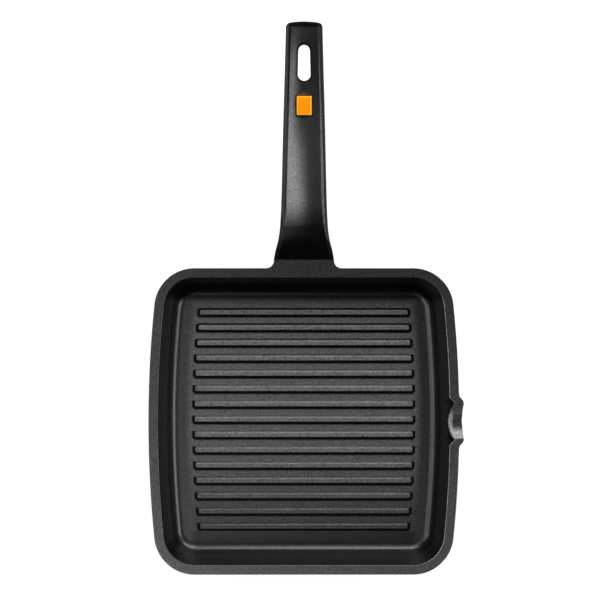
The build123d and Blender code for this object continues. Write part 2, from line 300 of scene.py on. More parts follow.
# %% [markdown]
# ## The casting in section
#
# The wall is about 4 mm thick and leans out by 14 degrees so that the casting leaves its mould.
# It carries a thick flat rim, whose edges are rounded, and meets the floor in a large fillet that
# is easy to wipe. The section is a list of (inset, height) points from the base's recess, round
# the outside, over the rim and down the inside to the floor.

# %% Section of the wall
lean = math.radians(14.0)
turn = math.pi / 2 - lean
rim_land, wall_thickness = 8.4, 4.2
flange_height = 6.0
floor_height, floor_fillet, base_fillet = 5.5, 9.0, 7.0
top_round, inner_round, under_round, recess_inset = 0.6, 0.5, 1.6, 28.95
outer_inset = rim_land - wall_thickness / math.cos(lean)
under_z = rim_height - flange_height
spring_z, lip_z = 37.0, under_z + under_round
flange_foot_z, flange_bend = 38.0, ((0.25, 38.7), (1.0, under_z))


def outer_wall(z):
    """Inset of the wall's outside at a height."""
    return outer_inset + (rim_height - z) * math.tan(lean)


def inner_wall(z):
    """Inset of the wall's inside at a height."""
    return rim_land + (rim_height - z) * math.tan(lean)


base_round_inset = outer_wall(0) + base_fillet * math.tan(turn / 2)
base_rows = [(recess_inset, 0.0), (blend(recess_inset, base_round_inset, 0.5), 0.0)] + [
    (base_round_inset - base_fillet * math.sin(angle), base_fillet * (1 - math.cos(angle)))
    for angle in (turn * share for share in even_shares(8))
]
wall_foot_z = base_rows[-1][1]
spring_inset = outer_wall(under_z)
quarter_turns = [math.pi / 2 * share for share in even_shares(4)]
path_rows = [
    (outer_wall(spring_z), spring_z),
    (outer_wall(flange_foot_z), flange_foot_z),
    *[(spring_inset - nearer, z) for nearer, z in flange_bend],
    (blend(spring_inset - flange_bend[-1][0], under_round, 0.5), under_z),
    *[(under_round * (1 - math.sin(a)), lip_z - under_round * math.cos(a)) for a in quarter_turns],
]
top_turns, inner_turns = quarter_turns[1:], [turn * share for share in even_shares(6)]
outer_shares, land_shares = even_shares(12)[1:-1], even_shares(4)[1:-1]
inner_shares = (0.04, 0.08, 0.12, 0.17, 0.23, 0.32, 0.5, 0.75)
fillet_centre = inner_wall(floor_height) + floor_fillet * math.tan(turn / 2)
fillet_turns = [turn * (1 - share) for share in even_shares(11)]
fillet_rows = [
    (fillet_centre - floor_fillet * math.sin(a), floor_height + floor_fillet * (1 - math.cos(a)))
    for a in fillet_turns
]
print("wall foot at", round(wall_foot_z, 2), "floor fillet starts at", round(fillet_rows[0][1], 2))

# %% [markdown]
# ## The spout
#
# The rim bends out by 45 degrees into two short horns, and a round-bottomed channel lies between
# them. Its bottom rolls down into the pan on a large radius. Below, the lip draws in and runs
# back into the wall as a small belly. Rather than cutting this shape, each station near the spout
# gets its own section: the channel lowers the top of the rim, and the horns push its outside out.

# %% Shape of the spout
channel_radius, channel_depth, channel_softness = 22.0, 6.3, 0.5
spout_reach, tip_half_width, lip_draw_in, lip_height = 4.08, 18.4, 1.2, 6.5
belly_height, belly_half_width, mouth_round = 19.0, 9.0, 5.0
channel_steepest, channel_end, channel_fade, channel_offset = 0.93, 24, 6, 0.02
horn_softness, flank_softness, flank_fade = 0.8, 1.1, 8
least_half_width, straight_from = 3.0, 5
spring_sink, lip_sink = 0.45, 0.62
funnel_reach, funnel_half_width, funnel_end, funnel_fall, funnel_softness = 5.4, 16.0, 22.6, 0.6, 1.4
tip_x = rim_length / 2 + spout_reach
belly_x = rim_length / 2 - outer_wall(rim_height - belly_height)


def rim_top(y):
    """Height of the rim's top at y on the spout's side."""
    across = min(abs(y), channel_steepest * channel_radius)
    channel = rim_height - channel_depth + channel_radius - math.sqrt(channel_radius ** 2 - across ** 2)
    fade = smooth((channel_end - abs(y)) / channel_fade)
    return rim_height - fade * (soft_larger(rim_height - channel, 0, channel_softness) - channel_offset)


def spout_outside(z, y):
    """x of the horns, the lip and the belly at a height."""
    lip_z_low = rim_height - lip_height
    if z > lip_z_low:
        share = (z - lip_z_low) / lip_height
        x = tip_x - lip_draw_in * (1 - share)
        half_width = tip_half_width - lip_draw_in * (1 - share)
    else:
        share = (z - rim_height + belly_height) / (belly_height - lip_height)
        x = blend(belly_x, tip_x - lip_draw_in, share)
        half_width = blend(belly_half_width, tip_half_width - lip_draw_in, share)
        half_width = max(least_half_width, half_width)
    return x - soft_larger(abs(y) - half_width, 0, horn_softness)


def funnel(y, drop):
    """How far the inside of the wall is moved out at y, at a drop below the rim."""
    across = abs(y)
    if across > funnel_half_width:
        reach = funnel_reach * smooth((funnel_end - across) / (funnel_end - funnel_half_width))
    else:
        reach = funnel_reach * (across / funnel_half_width) ** 2
    fall = funnel_fall * drop
    return max(0.0, soft_larger(reach - fall, 0, funnel_softness) - soft_larger(-fall, 0, funnel_softness))


channel_drop = rim_height - rim_top(0)
print("channel is", round(channel_drop, 2), "mm deep, lip at x", round(spout_outside(under_z, 0), 1))


# %% Sections through the spout
def spout_section(station):
    """Section through the rim at a station of the spout, from the base to the floor."""
    y = station[2]
    top = rim_top(y)
    sink = rim_height - top
    spring, lip = spring_z - spring_sink * sink, lip_z - lip_sink * sink
    softness = flank_softness * smooth((spout_half_span - abs(y)) / flank_fade)

    def outside(z, inset):
        return soft_larger(plan_point(station, inset)[0], spout_outside(z, y), softness)

    rows = [(*plan_point(station, inset), z) for inset, z in base_rows]
    for share in outer_shares:
        z = blend(wall_foot_z, spring, share)
        rows.append((outside(z, outer_wall(z)), y, z))
    start = Vector((outside(spring, outer_wall(spring)), spring))
    end = Vector((outside(lip, 0), lip))
    first, last = path_rows[0], path_rows[-1]
    first_x, last_x = plan_point(station, first[0])[0], plan_point(station, last[0])[0]
    straight = smooth((start.x - first_x) / straight_from)
    for index, (inset, z) in enumerate(path_rows):
        share = index / (len(path_rows) - 1)
        own = plan_point(station, inset)[0] + blend(start.x - first_x, end.x - last_x, share)
        own_z = blend(spring, lip, (z - spring_z) / (lip_z - spring_z))
        line = start.lerp(end, share)
        rows.append((blend(own, line.x, straight), y, blend(own_z, line.y, straight)))
    edge_z = top - top_round
    for share in (0.5, 1.0):
        z = blend(lip, edge_z, share)
        rows.append((outside(z, 0), y, z))
    edge_x = outside(edge_z, 0)
    for angle in top_turns:
        x = edge_x - top_round * (1 - math.cos(angle))
        rows.append((x, y, edge_z + top_round * math.sin(angle)))
    mouth = blend(inner_round, mouth_round, smooth(sink / channel_depth))
    land_end = inner_wall(top) - mouth * math.tan(turn / 2)
    land_start_x = edge_x - top_round
    land_end_x = plan_point(station, land_end - funnel(y, sink))[0]
    for share in land_shares:
        rows.append((blend(land_start_x, land_end_x, share), y, top))
    for angle in inner_turns:
        z = top - mouth * (1 - math.cos(angle))
        inset = land_end + mouth * math.sin(angle) - funnel(y, rim_height - z)
        rows.append((*plan_point(station, inset), z))
    foot = rows[-1][2]
    for share in inner_shares:
        z = blend(foot, fillet_rows[0][1], share)
        rows.append((*plan_point(station, inner_wall(z) - funnel(y, rim_height - z)), z))
    return rows + [(*plan_point(station, inset), z) for inset, z in fillet_rows]


print("a section of the spout has", len(spout_section(("spout", 1, 0.0))), "points")

# %% [markdown]
# ## The plain rim and its necks
#
# Between the spout and the lug the section is the same all round. Beside the lug the rim turns out
# to it through a round neck, because a sharp inner corner would crack. A profile pushed along a
# curve would give the straight runs, but it would fold over itself on so small a radius. So a
# station in a neck turns only its outermost rows round the neck's centre, and the rest stay put.

# %% Section of the plain rim
neck_fade = 0.8
land_end = rim_land - inner_round * math.tan(turn / 2)
inner_rows = [
    (land_end + inner_round * math.sin(angle), rim_height - inner_round * (1 - math.cos(angle)))
    for angle in inner_turns
]
inner_zs = [blend(inner_rows[-1][1], fillet_rows[0][1], share) for share in inner_shares]
inner_rows += [(inner_wall(z), z) for z in inner_zs] + fillet_rows


def plain_section(station):
    """Section of the plain rim, from the base to the floor."""
    rows = list(base_rows)
    outer_zs = [blend(wall_foot_z, spring_z, share) for share in outer_shares]
    rows += [(outer_wall(z), z) for z in outer_zs]
    rows += path_rows
    edge_z = rim_height - top_round
    rows += [(0.0, blend(lip_z, edge_z, 0.5)), (0.0, edge_z)]
    rows += [(top_round * (1 - math.cos(angle)), edge_z + top_round * math.sin(angle)) for angle in top_turns]
    rows += [(blend(top_round, land_end, share), rim_height) for share in land_shares]
    rows += inner_rows
    if station[0] != "neck":
        return [(*plan_point(station, inset), z) for inset, z in rows]
    _, side, angle = station
    x = neck_x - neck_radius * math.sin(angle)
    section = []
    for inset, z in rows:
        if inset <= under_round and z > spring_z:
            fade = 1.0 if z > lip_z else smooth((math.pi / 2 - angle) / neck_fade)
            reach = neck_radius + inset * fade
            section.append((side * (neck_x - reach * math.sin(angle)), neck_y - reach * math.cos(angle), z))
        else:
            section.append((side * x, rim_width / 2 - inset, z))
    return section


print("a plain section has", len(plain_section(("edge", 1, 0))), "points")

# %% [markdown]
# ## The lug
#
# The handle sits on a lug that is cast under the rim. The rim's top runs out over it and ends in a
# straight joint with the handle. It could be a block joined to the pan with a boolean, but then
# its edges with the rim would need a round of their own. Here the outer rows of the section are
# moved out to the joint and down to the lug's underside instead. The lug has the same rounded
# belly as the handle's root, so that the two meet without a step.

# %% Section of the lug
lug_height, root_belly, belly_fullness, lug_spring, lug_lip = 26.0, 5.0, 0.999, 2.0, 0.8


def belly_lift(x, half_width):
    """How far the rounded belly is, at x, above its lowest line."""
    share = min(1.0, abs(x) / half_width)
    return root_belly * (1 - math.sqrt(1 - share ** 2 * belly_fullness))


def lug_section(station):
    """Section through the lug, whose outside is the joint with the handle."""
    kind, side, value = station
    outer_x, inner_x, end_y = value, value, joint_y
    if kind == "lug side":
        outer, inner, set_back = lug_corner[value]
        outer_x, inner_x, end_y = side * outer, side * inner, joint_y - set_back
    bottom = rim_height - lug_height + belly_lift(outer_x, lug_half_width)
    spring, lip = bottom - lug_spring, bottom + lug_lip
    rows = [(outer_x, rim_width / 2 - inset, z) for inset, z in base_rows]
    for share in outer_shares:
        z = blend(wall_foot_z, spring, share)
        rows.append((outer_x, rim_width / 2 - outer_wall(z), z))
    start_y = rim_width / 2 - outer_wall(spring)
    first_y, last_y = rim_width / 2 - path_rows[0][0], rim_width / 2
    for index, (inset, z) in enumerate(path_rows):
        share = index / (len(path_rows) - 1)
        y = rim_width / 2 - inset + blend(start_y - first_y, end_y - last_y, share)
        rise = (z - under_z) * (1.0 if z < under_z else lug_lip / under_round)
        rows.append((outer_x, y, bottom + rise))
    edge_z = rim_height - joint_round
    rows += [(outer_x, end_y, blend(lip, edge_z, share)) for share in (0.5, 1.0)]
    for share, angle in zip(even_shares(len(top_turns))[1:], top_turns):
        x = blend(outer_x, inner_x, share) if kind == "lug side" else outer_x
        y = end_y - joint_round * (1 - math.cos(angle))
        rows.append((x, y, edge_z + joint_round * math.sin(angle)))
    outer_y = rows[-1][1]
    for share in land_shares:
        rows.append((inner_x, blend(outer_y, rim_width / 2 - land_end, share), rim_height))
    return rows + [(inner_x, rim_width / 2 - inset, z) for inset, z in inner_rows]


print("a section of the lug has", len(lug_section(("lug", 1, 0.0))), "points")

# %% [markdown]
# ## One skin from all the sections
#
# Every section has the same number of points, so a point's number means the same place on each of
# them: the lip, the rim's edge or the foot of the fillet. Joining the points with the same number
# gives loops round the pan, and the strips between those loops are its whole outside and inside.

# %% Skin of the casting
def section_at(station):
    """The section that belongs to a station."""
    if station[0] == "spout":
        return spout_section(station)
    if station[0] in ("lug", "lug side"):
        return lug_section(station)
    return plain_section(station)


casting = Skin()
columns = [casting.loop(section_at(station)) for station in stations]
rows = [list(row) for row in zip(*columns)]
casting.strips(rows)
print(len(columns), "sections of", len(rows), "points, all alike:", len({len(c) for c in columns}) == 1)

# %% [markdown]
# ## Floor, ribs and base
#
# Fifteen ribs stand on the floor to sear the food and to let fat drain. They are cast with it, so
# each has a small root fillet, leaning sides and rounded tops and ends. Each rib is a stack of
# loops whose lowest one lies in the floor, and the floor is filled round all of them, so floor,
# ribs and wall are one skin. The same fill closes the base, where short studs of aluminium stand
# in the holes of the steel plate and hold it.

# %% Ribs and floor
rib_count, rib_pitch, rib_height = 15, 14.0, 3.5
rib_base_width, rib_end_inset, rib_corner = 5.4, 39.7, 1.9
rib_lean = math.radians(8.0)
root_round, crown_round = 0.7, 0.85


def rounded_block(half_x, half_y, radius, corner_steps=6):
    """(x, y) points round a rectangle with round corners."""
    points = []
    for quadrant, (side_x, side_y) in enumerate(((1, 1), (-1, 1), (-1, -1), (1, -1))):
        for share in even_shares(corner_steps):
            angle = math.pi / 2 * (quadrant + share)
            points.append((
                side_x * (half_x - radius) + radius * math.cos(angle),
                side_y * (half_y - radius) + radius * math.sin(angle),
            ))
    return points


def rib_rows():
    """(offset from the base outline, height over the floor) from the root to the top's edge."""
    swing = math.pi / 2 - rib_lean
    root_foot = root_round * math.tan(swing / 2)
    crown_foot = -rib_height * math.tan(rib_lean) - crown_round * math.tan(swing / 2)
    root_turns = [swing * share for share in even_shares(3)]
    crown_turns = [swing * (1 - share) for share in even_shares(4)]
    root = [(root_foot - root_round * math.sin(a), root_round * (1 - math.cos(a))) for a in root_turns]
    return root + [
        (crown_foot + crown_round * math.sin(a), rib_height - crown_round * (1 - math.cos(a)))
        for a in crown_turns
    ]


rib_roots = []
for index in range(rib_count):
    y = (index - (rib_count - 1) / 2) * rib_pitch
    half_length = bow_centre + math.sqrt((bow_radius - rib_end_inset) ** 2 - y ** 2)
    loops = []
    for offset, height in rib_rows():
        outline = rounded_block(half_length + offset, rib_base_width / 2 + offset, rib_corner + offset)
        loops.append(casting.loop((px, py + y, floor_height + height) for px, py in outline))
    casting.strips(loops)
    casting.fill(loops[-1])
    rib_roots.append(loops[0])
casting.fill(rows[-1], rib_roots)
print(rib_count, "ribs,", round(2 * half_length, 1), "mm long at the ends of the floor")

# %% Base with its studs
plate_thickness, plate_inset, hole_radius, stud_gap, edge_break = 0.8, 29.0, 4.0, 0.05, 0.12
hole_count, hole_pitch_share = 6, 0.154
plate_size = (rim_length - 2 * plate_inset, rim_width - 2 * plate_inset)


def hole_centres():
    """Centres of the plate's holes."""
    for column in range(hole_count):
        for row in range(hole_count):
            yield tuple(
                (place - (hole_count - 1) / 2) * size * hole_pitch_share
                for place, size in zip((column, row), plate_size)
            )


def circle(centre, radius, z, count=24):
    """Points round a level circle."""
    angles = [2 * math.pi * step / count for step in range(count)]
    return [(centre[0] + radius * math.cos(a), centre[1] + radius * math.sin(a), z) for a in angles]


stud_radius = hole_radius - stud_gap
pocket = casting.loop([(*casting.points[i][:2], plate_thickness) for i in rows[0]])
casting.strip(rows[0], pocket)
stud_roots = []
for centre in hole_centres():
    root = casting.loop(circle(centre, stud_radius, plate_thickness))
    shoulder = casting.loop(circle(centre, stud_radius, edge_break))
    face = casting.loop(circle(centre, stud_radius - edge_break, 0))
    casting.strips([root, shoulder, face])
    casting.fill(face)
    stud_roots.append(root)
casting.fill(pocket, stud_roots)
pan_casting = casting.build("pan_casting")

# %% [markdown]
# ## The steel plate in the base
#
# Aluminium doesn't heat on an induction hob, so a thin steel plate with holes is pressed into the
# underside. Holes could be cut with a boolean, but that leaves long thin triangles and no edge to
# round. So it is made the same way as the floor: two faces filled round the holes, with a fine
# broken edge on each hole and on the outline.

# %% Base plate
plate = Skin()
plate_stations = (
    [("bow", 1, blend(-bow_swing, bow_swing, share)) for share in even_shares(24)[:-1]]
    + quarter_stations(1, 1)
    + quarter_stations(-1, 1)[::-1]
    + bow_stations(-1, bow_swing, -bow_swing, 24)
    + quarter_stations(-1, -1)
    + quarter_stations(1, -1)[:0:-1]
)
outline_rows = [(plate_inset + edge_break, 0.0), (plate_inset, edge_break), (plate_inset, plate_thickness)]
edge_loops = [
    plate.loop((*plan_point(station, inset), z) for station in plate_stations) for inset, z in outline_rows
]
plate.strips(edge_loops)
lower_holes, upper_holes = [], []
for centre in hole_centres():
    loops = [
        plate.loop(circle(centre, hole_radius + edge_break, 0.0)),
        plate.loop(circle(centre, hole_radius, edge_break)),
        plate.loop(circle(centre, hole_radius, plate_thickness)),
    ]
    plate.strips(loops)
    lower_holes.append(loops[0])
    upper_holes.append(loops[-1])
plate.fill(edge_loops[0], lower_holes)
plate.fill(edge_loops[-1], upper_holes)
steel_plate = plate.build("perforated_plate")

# %% [markdown]
# ## The handle's shape
#
# The handle is one moulding. It starts with the lug's full section, narrows quickly into a grip
# and rises in a flattening curve to a blunt tip. Its top is a gently crowned panel with a small
# step up along each edge and a facet that falls outward. The CAD model gives thirteen sections as
# shares of the length, half-width, rise and thickness. A curve through them gives any section.

# %% Handle sections
handle_length, handle_rise = 208.3, 50.96
handle_shares = [
    (0.0, 1.0, 0.0, 1.0, 0.06),
    (0.039, 0.939, 0.104, 0.98, 0.32),
    (0.082, 0.853, 0.205, 0.92, 0.56),
    (0.126, 0.803, 0.28, 0.855, 0.8),
    (0.17, 0.778, 0.342, 0.808, 0.92),
    (0.252, 0.751, 0.444, 0.754, 1.0),
    (0.378, 0.725, 0.586, 0.708, 1.0),
    (0.503, 0.701, 0.716, 0.677, 1.0),
    (0.629, 0.675, 0.824, 0.65, 1.0),
    (0.755, 0.646, 0.906, 0.623, 1.0),
    (0.881, 0.619, 0.967, 0.592, 1.0),
    (1.0, 0.595, 1.0, 0.554, 1.0),
    (1.04, 0.588, 1.008, 0.542, 1.0),
]
facet_width, facet_drop, step_width, step_rise = 3.0, 2.4, 1.3, 0.5
crown_height, joint_gap = 1.5, 0.2
tip_y = joint_y + handle_length
print(len(handle_shares), "sections, tip at y", round(tip_y, 1))


# %% Curves through the sections
def share_slopes(column):
    """Slope of one column of the table at each section, from its neighbours."""
    pairs = list(zip(handle_shares, handle_shares[1:]))
    spans = [b[0] - a[0] for a, b in pairs]
    climbs = [(b[column] - a[column]) / span for (a, b), span in zip(pairs, spans)]
    middle = [
        (spans[i + 1] * climbs[i] + spans[i] * climbs[i + 1]) / (spans[i] + spans[i + 1])
        for i in range(len(spans) - 1)
    ]
    return [climbs[0]] + middle + [climbs[-1]]


all_slopes = {column: share_slopes(column) for column in range(1, 5)}


def share_at(column, along):
    """A column's value at a share of the length, on a smooth curve through the table."""
    index = 0
    while index < len(handle_shares) - 2 and handle_shares[index + 1][0] < along:
        index += 1
    low, high = handle_shares[index], handle_shares[index + 1]
    span = high[0] - low[0]
    u = (along - low[0]) / span
    slopes = all_slopes[column]
    return (
        low[column] * (1 + 2 * u) * (1 - u) ** 2
        + high[column] * u * u * (3 - 2 * u)
        + slopes[index] * span * u * (1 - u) ** 2
        - slopes[index + 1] * span * u * u * (1 - u)
    )


def handle_at(y):
    """Half-width, height of the top line, height of the underside and facet share at y."""
    along = max(0.0, (y - joint_y) / handle_length)
    gap = joint_gap * (1 - smooth((y - joint_y) / joint_gap))
    half_width = lug_half_width * share_at(1, along) - gap
    top = rim_height + handle_rise * share_at(2, along)
    bottom = top - lug_height * share_at(3, along) + gap
    return half_width, top - gap, bottom, share_at(4, along)


def panel_height(x, y):
    """Height of the crowned top panel."""
    half_width, top, _, edge = handle_at(y)
    reach = half_width - (facet_width + step_width) * edge
    sag = crown_height * edge
    radius = (reach ** 2 + sag ** 2) / (2 * sag)
    return top - (radius - math.sqrt(radius ** 2 - min(abs(x), reach + 1) ** 2))


def belly_height_at(x, y):
    """Height of the rounded underside."""
    half_width, _, bottom, _ = handle_at(y)
    return bottom + belly_lift(x, half_width)


print("top line at the middle of the handle:", round(panel_height(0, joint_y + handle_length / 2), 1))

# %% [markdown]
# ## The handle's skin
#
# The edge bands run up one side, round the tip and back down the other side, so each band is a
# loop that starts and ends at the joint. Loops set in from the outline by a facet's width make the
# facet, the next ones make the step, and soft corners come from two extra loops at each bend. Only
# the top panel and the underside are then left open, and they are filled round the hanging slot,
# the tile's pocket and the screw's counterbore.

# %% Outline of the handle
tip_crown_radius, tip_corner_radius = 95.0, 4.4
tip_taper_end, first_side_gap = 5, 1.2
corner_centre_x = handle_at(tip_y - tip_taper_end)[0] - tip_corner_radius
crown_centre_y = tip_y - tip_crown_radius
crown_less_corner = tip_crown_radius - tip_corner_radius
corner_centre_y = crown_centre_y + math.sqrt(crown_less_corner ** 2 - corner_centre_x ** 2)
corner_end = math.acos(corner_centre_x / crown_less_corner)
side_count, corner_count, crown_count = 84, 8, 8
side_ys = [joint_y, joint_y + joint_gap] + [
    blend(joint_y + first_side_gap, corner_centre_y, share) for share in even_shares(side_count)
]
half_track = (
    [("side", y) for y in side_ys]
    + [("corner", corner_end * share) for share in even_shares(corner_count)[1:]]
    + [("crown", blend(corner_end, math.pi / 2, share)) for share in even_shares(crown_count)[1:]]
)
track = [(kind, value, 1) for kind, value in half_track]
track += [(kind, value, -1) for kind, value in half_track[-2::-1]]


def track_point(place, inset):
    """(x, y) on the handle's outline, set in by some millimetres."""
    kind, value, side = place
    if kind == "side":
        return side * (handle_at(value)[0] - inset), value
    if kind == "corner":
        reach = tip_corner_radius - inset
        return side * (corner_centre_x + reach * math.cos(value)), corner_centre_y + reach * math.sin(value)
    reach = tip_crown_radius - inset
    return side * reach * math.cos(value), crown_centre_y + reach * math.sin(value)


def tip_share(place):
    """0 along the sides and 1 across the tip."""
    kind, value, _ = place
    if kind == "side":
        return 0.0
    return smooth(value / corner_end) if kind == "corner" else 1.0


print(len(track), "places along the handle's edge")


# %% Edge of the handle
def soft_corner(before, corner, after, count=3):
    """Points that cut a corner of a section with a curve."""
    points = []
    for u in even_shares(count):
        weights = ((1 - u) ** 2, 2 * u * (1 - u), u * u)
        pairs = zip(before, corner, after)
        points.append(tuple(sum(weight * value for weight, value in zip(weights, pair)) for pair in pairs))
    return points


def towards(start, end, length):
    """A point some way from start to end, at most halfway."""
    span = math.dist(start, end)
    return tuple(blend(a, b, min(0.5, length / span)) for a, b in zip(start, end))


tip_facet_width, tip_facet_drop, tip_step_share, tip_round = 1.5, 1.3, 0.25, 2.0
facet_soft, step_soft = 0.8, 0.45
belly_insets = (4.2, 3.1, 2.0, 1.1, 0.5, 0.15, 0.0)
side_shares, least_edge = (0.35, 0.7), 0.3


def edge_rows(place):
    """Points from the underside, up the side and over the facet to the top panel."""
    tip = tip_share(place)
    y = track_point(place, 0)[1]
    edge = handle_at(min(y, tip_y))[3]
    facet = blend(facet_width, tip_facet_width, tip) * edge
    drop = blend(facet_drop, tip_facet_drop, tip) * edge
    step = step_width * blend(1, tip_step_share, tip) * edge
    rise = step_rise * blend(1, tip_step_share, tip) * edge
    panel_inset = facet + step
    panel_z = panel_height(*track_point(place, panel_inset))
    outer, inner, foot = (0.0, panel_z + rise - drop), (facet, panel_z + rise), (panel_inset, panel_z)
    last_inset = panel_inset + min(step_soft, step / 2)
    last = (last_inset, panel_height(*track_point(place, last_inset)))
    rows = []
    for inset in belly_insets:
        x, own_y = track_point(place, inset)
        lift = tip_round * (1 - math.sqrt(1 - max(0.0, 1 - inset / tip_round) ** 2)) * tip
        rows.append((inset, belly_height_at(x, min(own_y, tip_y)) + lift))
    side_top = towards(outer, rows[-1], facet_soft * max(edge, least_edge))
    rows += [(0.0, blend(rows[-1][1], side_top[1], share)) for share in side_shares]
    rows += soft_corner(side_top, outer, towards(outer, inner, facet_soft * edge))
    soft = step_soft * edge
    rows += soft_corner(towards(inner, outer, soft), inner, towards(inner, foot, soft))
    rows += soft_corner(towards(foot, inner, soft), foot, last)
    return [(*track_point(place, inset), z) for inset, z in rows]


moulding = Skin()
edge_columns = [moulding.loop(edge_rows(place)) for place in track]
edge_loops = [list(loop) for loop in zip(*edge_columns)]
moulding.strips(edge_loops, closed=False)
print(len(edge_loops), "loops along the edge")

# %% Hanging slot
slot_length, slot_tip_width, slot_inner_width = 32.6, 10.2, 11.4
slot_tip_margin, slot_round, slot_end_steps = 19.4, 0.7, 18
slot_tip = (tip_y - slot_tip_margin - slot_tip_width / 2, slot_tip_width / 2)
slot_inner = (tip_y - slot_tip_margin - slot_length + slot_inner_width / 2, slot_inner_width / 2)


def slot_outline(offset):
    """(x, y) points round the slot, grown by an offset."""
    slant = math.asin((slot_inner[1] - slot_tip[1]) / (slot_tip[0] - slot_inner[0]))
    ends = [(slot_tip, slant, math.pi - slant), (slot_inner, math.pi - slant, 2 * math.pi + slant)]
    arcs = []
    for (centre_y, radius), start, stop in ends:
        reach = radius + offset
        angles = [blend(start, stop, share) for share in even_shares(slot_end_steps)]
        arcs.append([(reach * math.cos(angle), centre_y + reach * math.sin(angle)) for angle in angles])
    (ax, ay), (bx, by) = arcs[0][-1], arcs[1][0]
    left = [(blend(ax, bx, share), blend(ay, by, share)) for share in even_shares(7)[1:-1]]
    return arcs[0] + left + arcs[1] + [(-x, y) for x, y in left[::-1]]


upper, lower = [], []
for angle in quarter_turns:
    outline = slot_outline(slot_round * (1 - math.sin(angle)))
    drop = slot_round * (1 - math.cos(angle))
    upper.append(moulding.loop((x, y, panel_height(x, y) - drop) for x, y in outline))
    lower.append(moulding.loop((x, y, belly_height_at(x, y) + drop) for x, y in outline))
walls = []
for share in (0.33, 0.67):
    pairs = [(moulding.points[a], moulding.points[b]) for a, b in zip(upper[-1], lower[-1])]
    walls.append(moulding.loop((*top[:2], blend(top[2], bottom[2], share)) for top, bottom in pairs))
moulding.strips(upper + walls + lower[::-1])
print("slot", round(slot_length, 1), "mm long, with", len(outline), "points round it")

# %% Pocket of the tile
tile_length, tile_width, tile_thickness, tile_proud = 16.9, 13.4, 1.6, 0.15
tile_clearance, tile_tip_distance, tile_corner = 0.08, 73.6, 0.7
pocket_lip = [(0.12, 0), (0.04, 0.05), (0, 0.16)]
tile_y = tip_y - tile_tip_distance
tile_slope = math.atan((panel_height(0, tile_y + 2) - panel_height(0, tile_y - 2)) / 4)
tile_centre = Vector((0, tile_y, panel_height(0, tile_y)))
tile_along = Vector((0, math.cos(tile_slope), math.sin(tile_slope)))
tile_up = Vector((0, -math.sin(tile_slope), math.cos(tile_slope)))


def tile_point(u, v, height):
    """A point in the tile's own directions: across, along and up."""
    return tile_centre + Vector((u, 0, 0)) + v * tile_along + height * tile_up


def tile_surface(u, v):
    """Height of the handle's panel in the tile's own directions."""
    height = 0.0
    for _ in range(5):
        point = tile_point(u, v, height)
        height += (panel_height(point.x, point.y) - point.z) * math.cos(tile_slope)
    return height


def tile_ring(grow, drop=None, level=None):
    """Points round the tile, at a drop from the panel or at a level of their own."""
    outline = rounded_block(tile_width / 2 + grow, tile_length / 2 + grow, tile_corner + grow, 4)
    heights = [level if level is not None else tile_surface(u, v) - drop for u, v in outline]
    return [tile_point(u, v, height) for (u, v), height in zip(outline, heights)]


pocket_rings = [moulding.loop(tile_ring(tile_clearance + grow, drop=drop)) for grow, drop in pocket_lip]
pocket_rings.append(moulding.loop(tile_ring(tile_clearance, level=-tile_thickness)))
moulding.strips(pocket_rings)
moulding.fill(pocket_rings[-1])
print("tile at y", round(tile_y, 1), "on a slope of", round(math.degrees(tile_slope), 1), "degrees")

# %% Counterbore of the screw
tongue_tilt = math.radians(32.0)
screw_position, tongue_start_drop, seat_depth = 15.0, 10.5, 7.8
bore_radius, screw_hole_radius, hole_depth, bore_steps = 5.5, 2.8, 3.8, 36
bore_lip, first_guess, tries, ease = [(0.35, 0.0), (0.1, 0.12), (0, 0.4)], -12.0, 12, 0.8
bore_along = Vector((0, math.cos(tongue_tilt), math.sin(tongue_tilt)))
bore_up = Vector((0, -math.sin(tongue_tilt), math.cos(tongue_tilt)))
bore_centre = Vector((0, joint_y, rim_height - tongue_start_drop)) + screw_position * bore_along


def bore_ring(radius, level=None, lift=0.0):
    """Points round the screw's axis, at a level or where they meet the underside."""
    points = []
    for step in range(bore_steps):
        angle = 2 * math.pi * step / bore_steps
        aside = Vector((radius * math.cos(angle), 0, 0))
        base = bore_centre + aside + radius * math.sin(angle) * bore_along
        height = first_guess if level is None else level
        if level is None:
            for _ in range(tries):
                point = base + height * bore_up
                miss = belly_height_at(point.x, point.y) - point.z
                height += miss * math.cos(tongue_tilt) * ease
            height += lift
        points.append(base + height * bore_up)
    return points


bore_rings = [moulding.loop(bore_ring(bore_radius + grow, lift=lift)) for grow, lift in bore_lip]
bore_rings += [
    moulding.loop(bore_ring(bore_radius, level=-seat_depth)),
    moulding.loop(bore_ring(screw_hole_radius, level=-seat_depth)),
    moulding.loop(bore_ring(screw_hole_radius, level=-hole_depth)),
]
moulding.strips(bore_rings)
moulding.fill(bore_rings[-1])
print("counterbore opens at z", round(min(moulding.points[i][2] for i in bore_rings[0]), 1))

# %% Top panel, underside and joint face
hole_room, across_steps = 0.5, 11


def clear_of(x, y, rings, room):
    """True if a point keeps some room from every ring's box."""
    for ring in rings:
        xs = [moulding.points[i][0] for i in ring]
        ys = [moulding.points[i][1] for i in ring]
        if min(xs) - room < x < max(xs) + room and min(ys) - room < y < max(ys) + room:
            return False
    return True


def spread(boundary, height_of, holes, every, shares):
    """Inner points of a long surface, row by row, clear of its holes."""
    points = []
    for index in range(every, len(side_ys) - 1, every):
        reach = abs(moulding.points[boundary[index]][0])
        y = side_ys[index]
        for share in shares:
            x = reach * share
            if clear_of(x, y, holes, hole_room):
                points.append((x, y, height_of(x, y)))
    return points


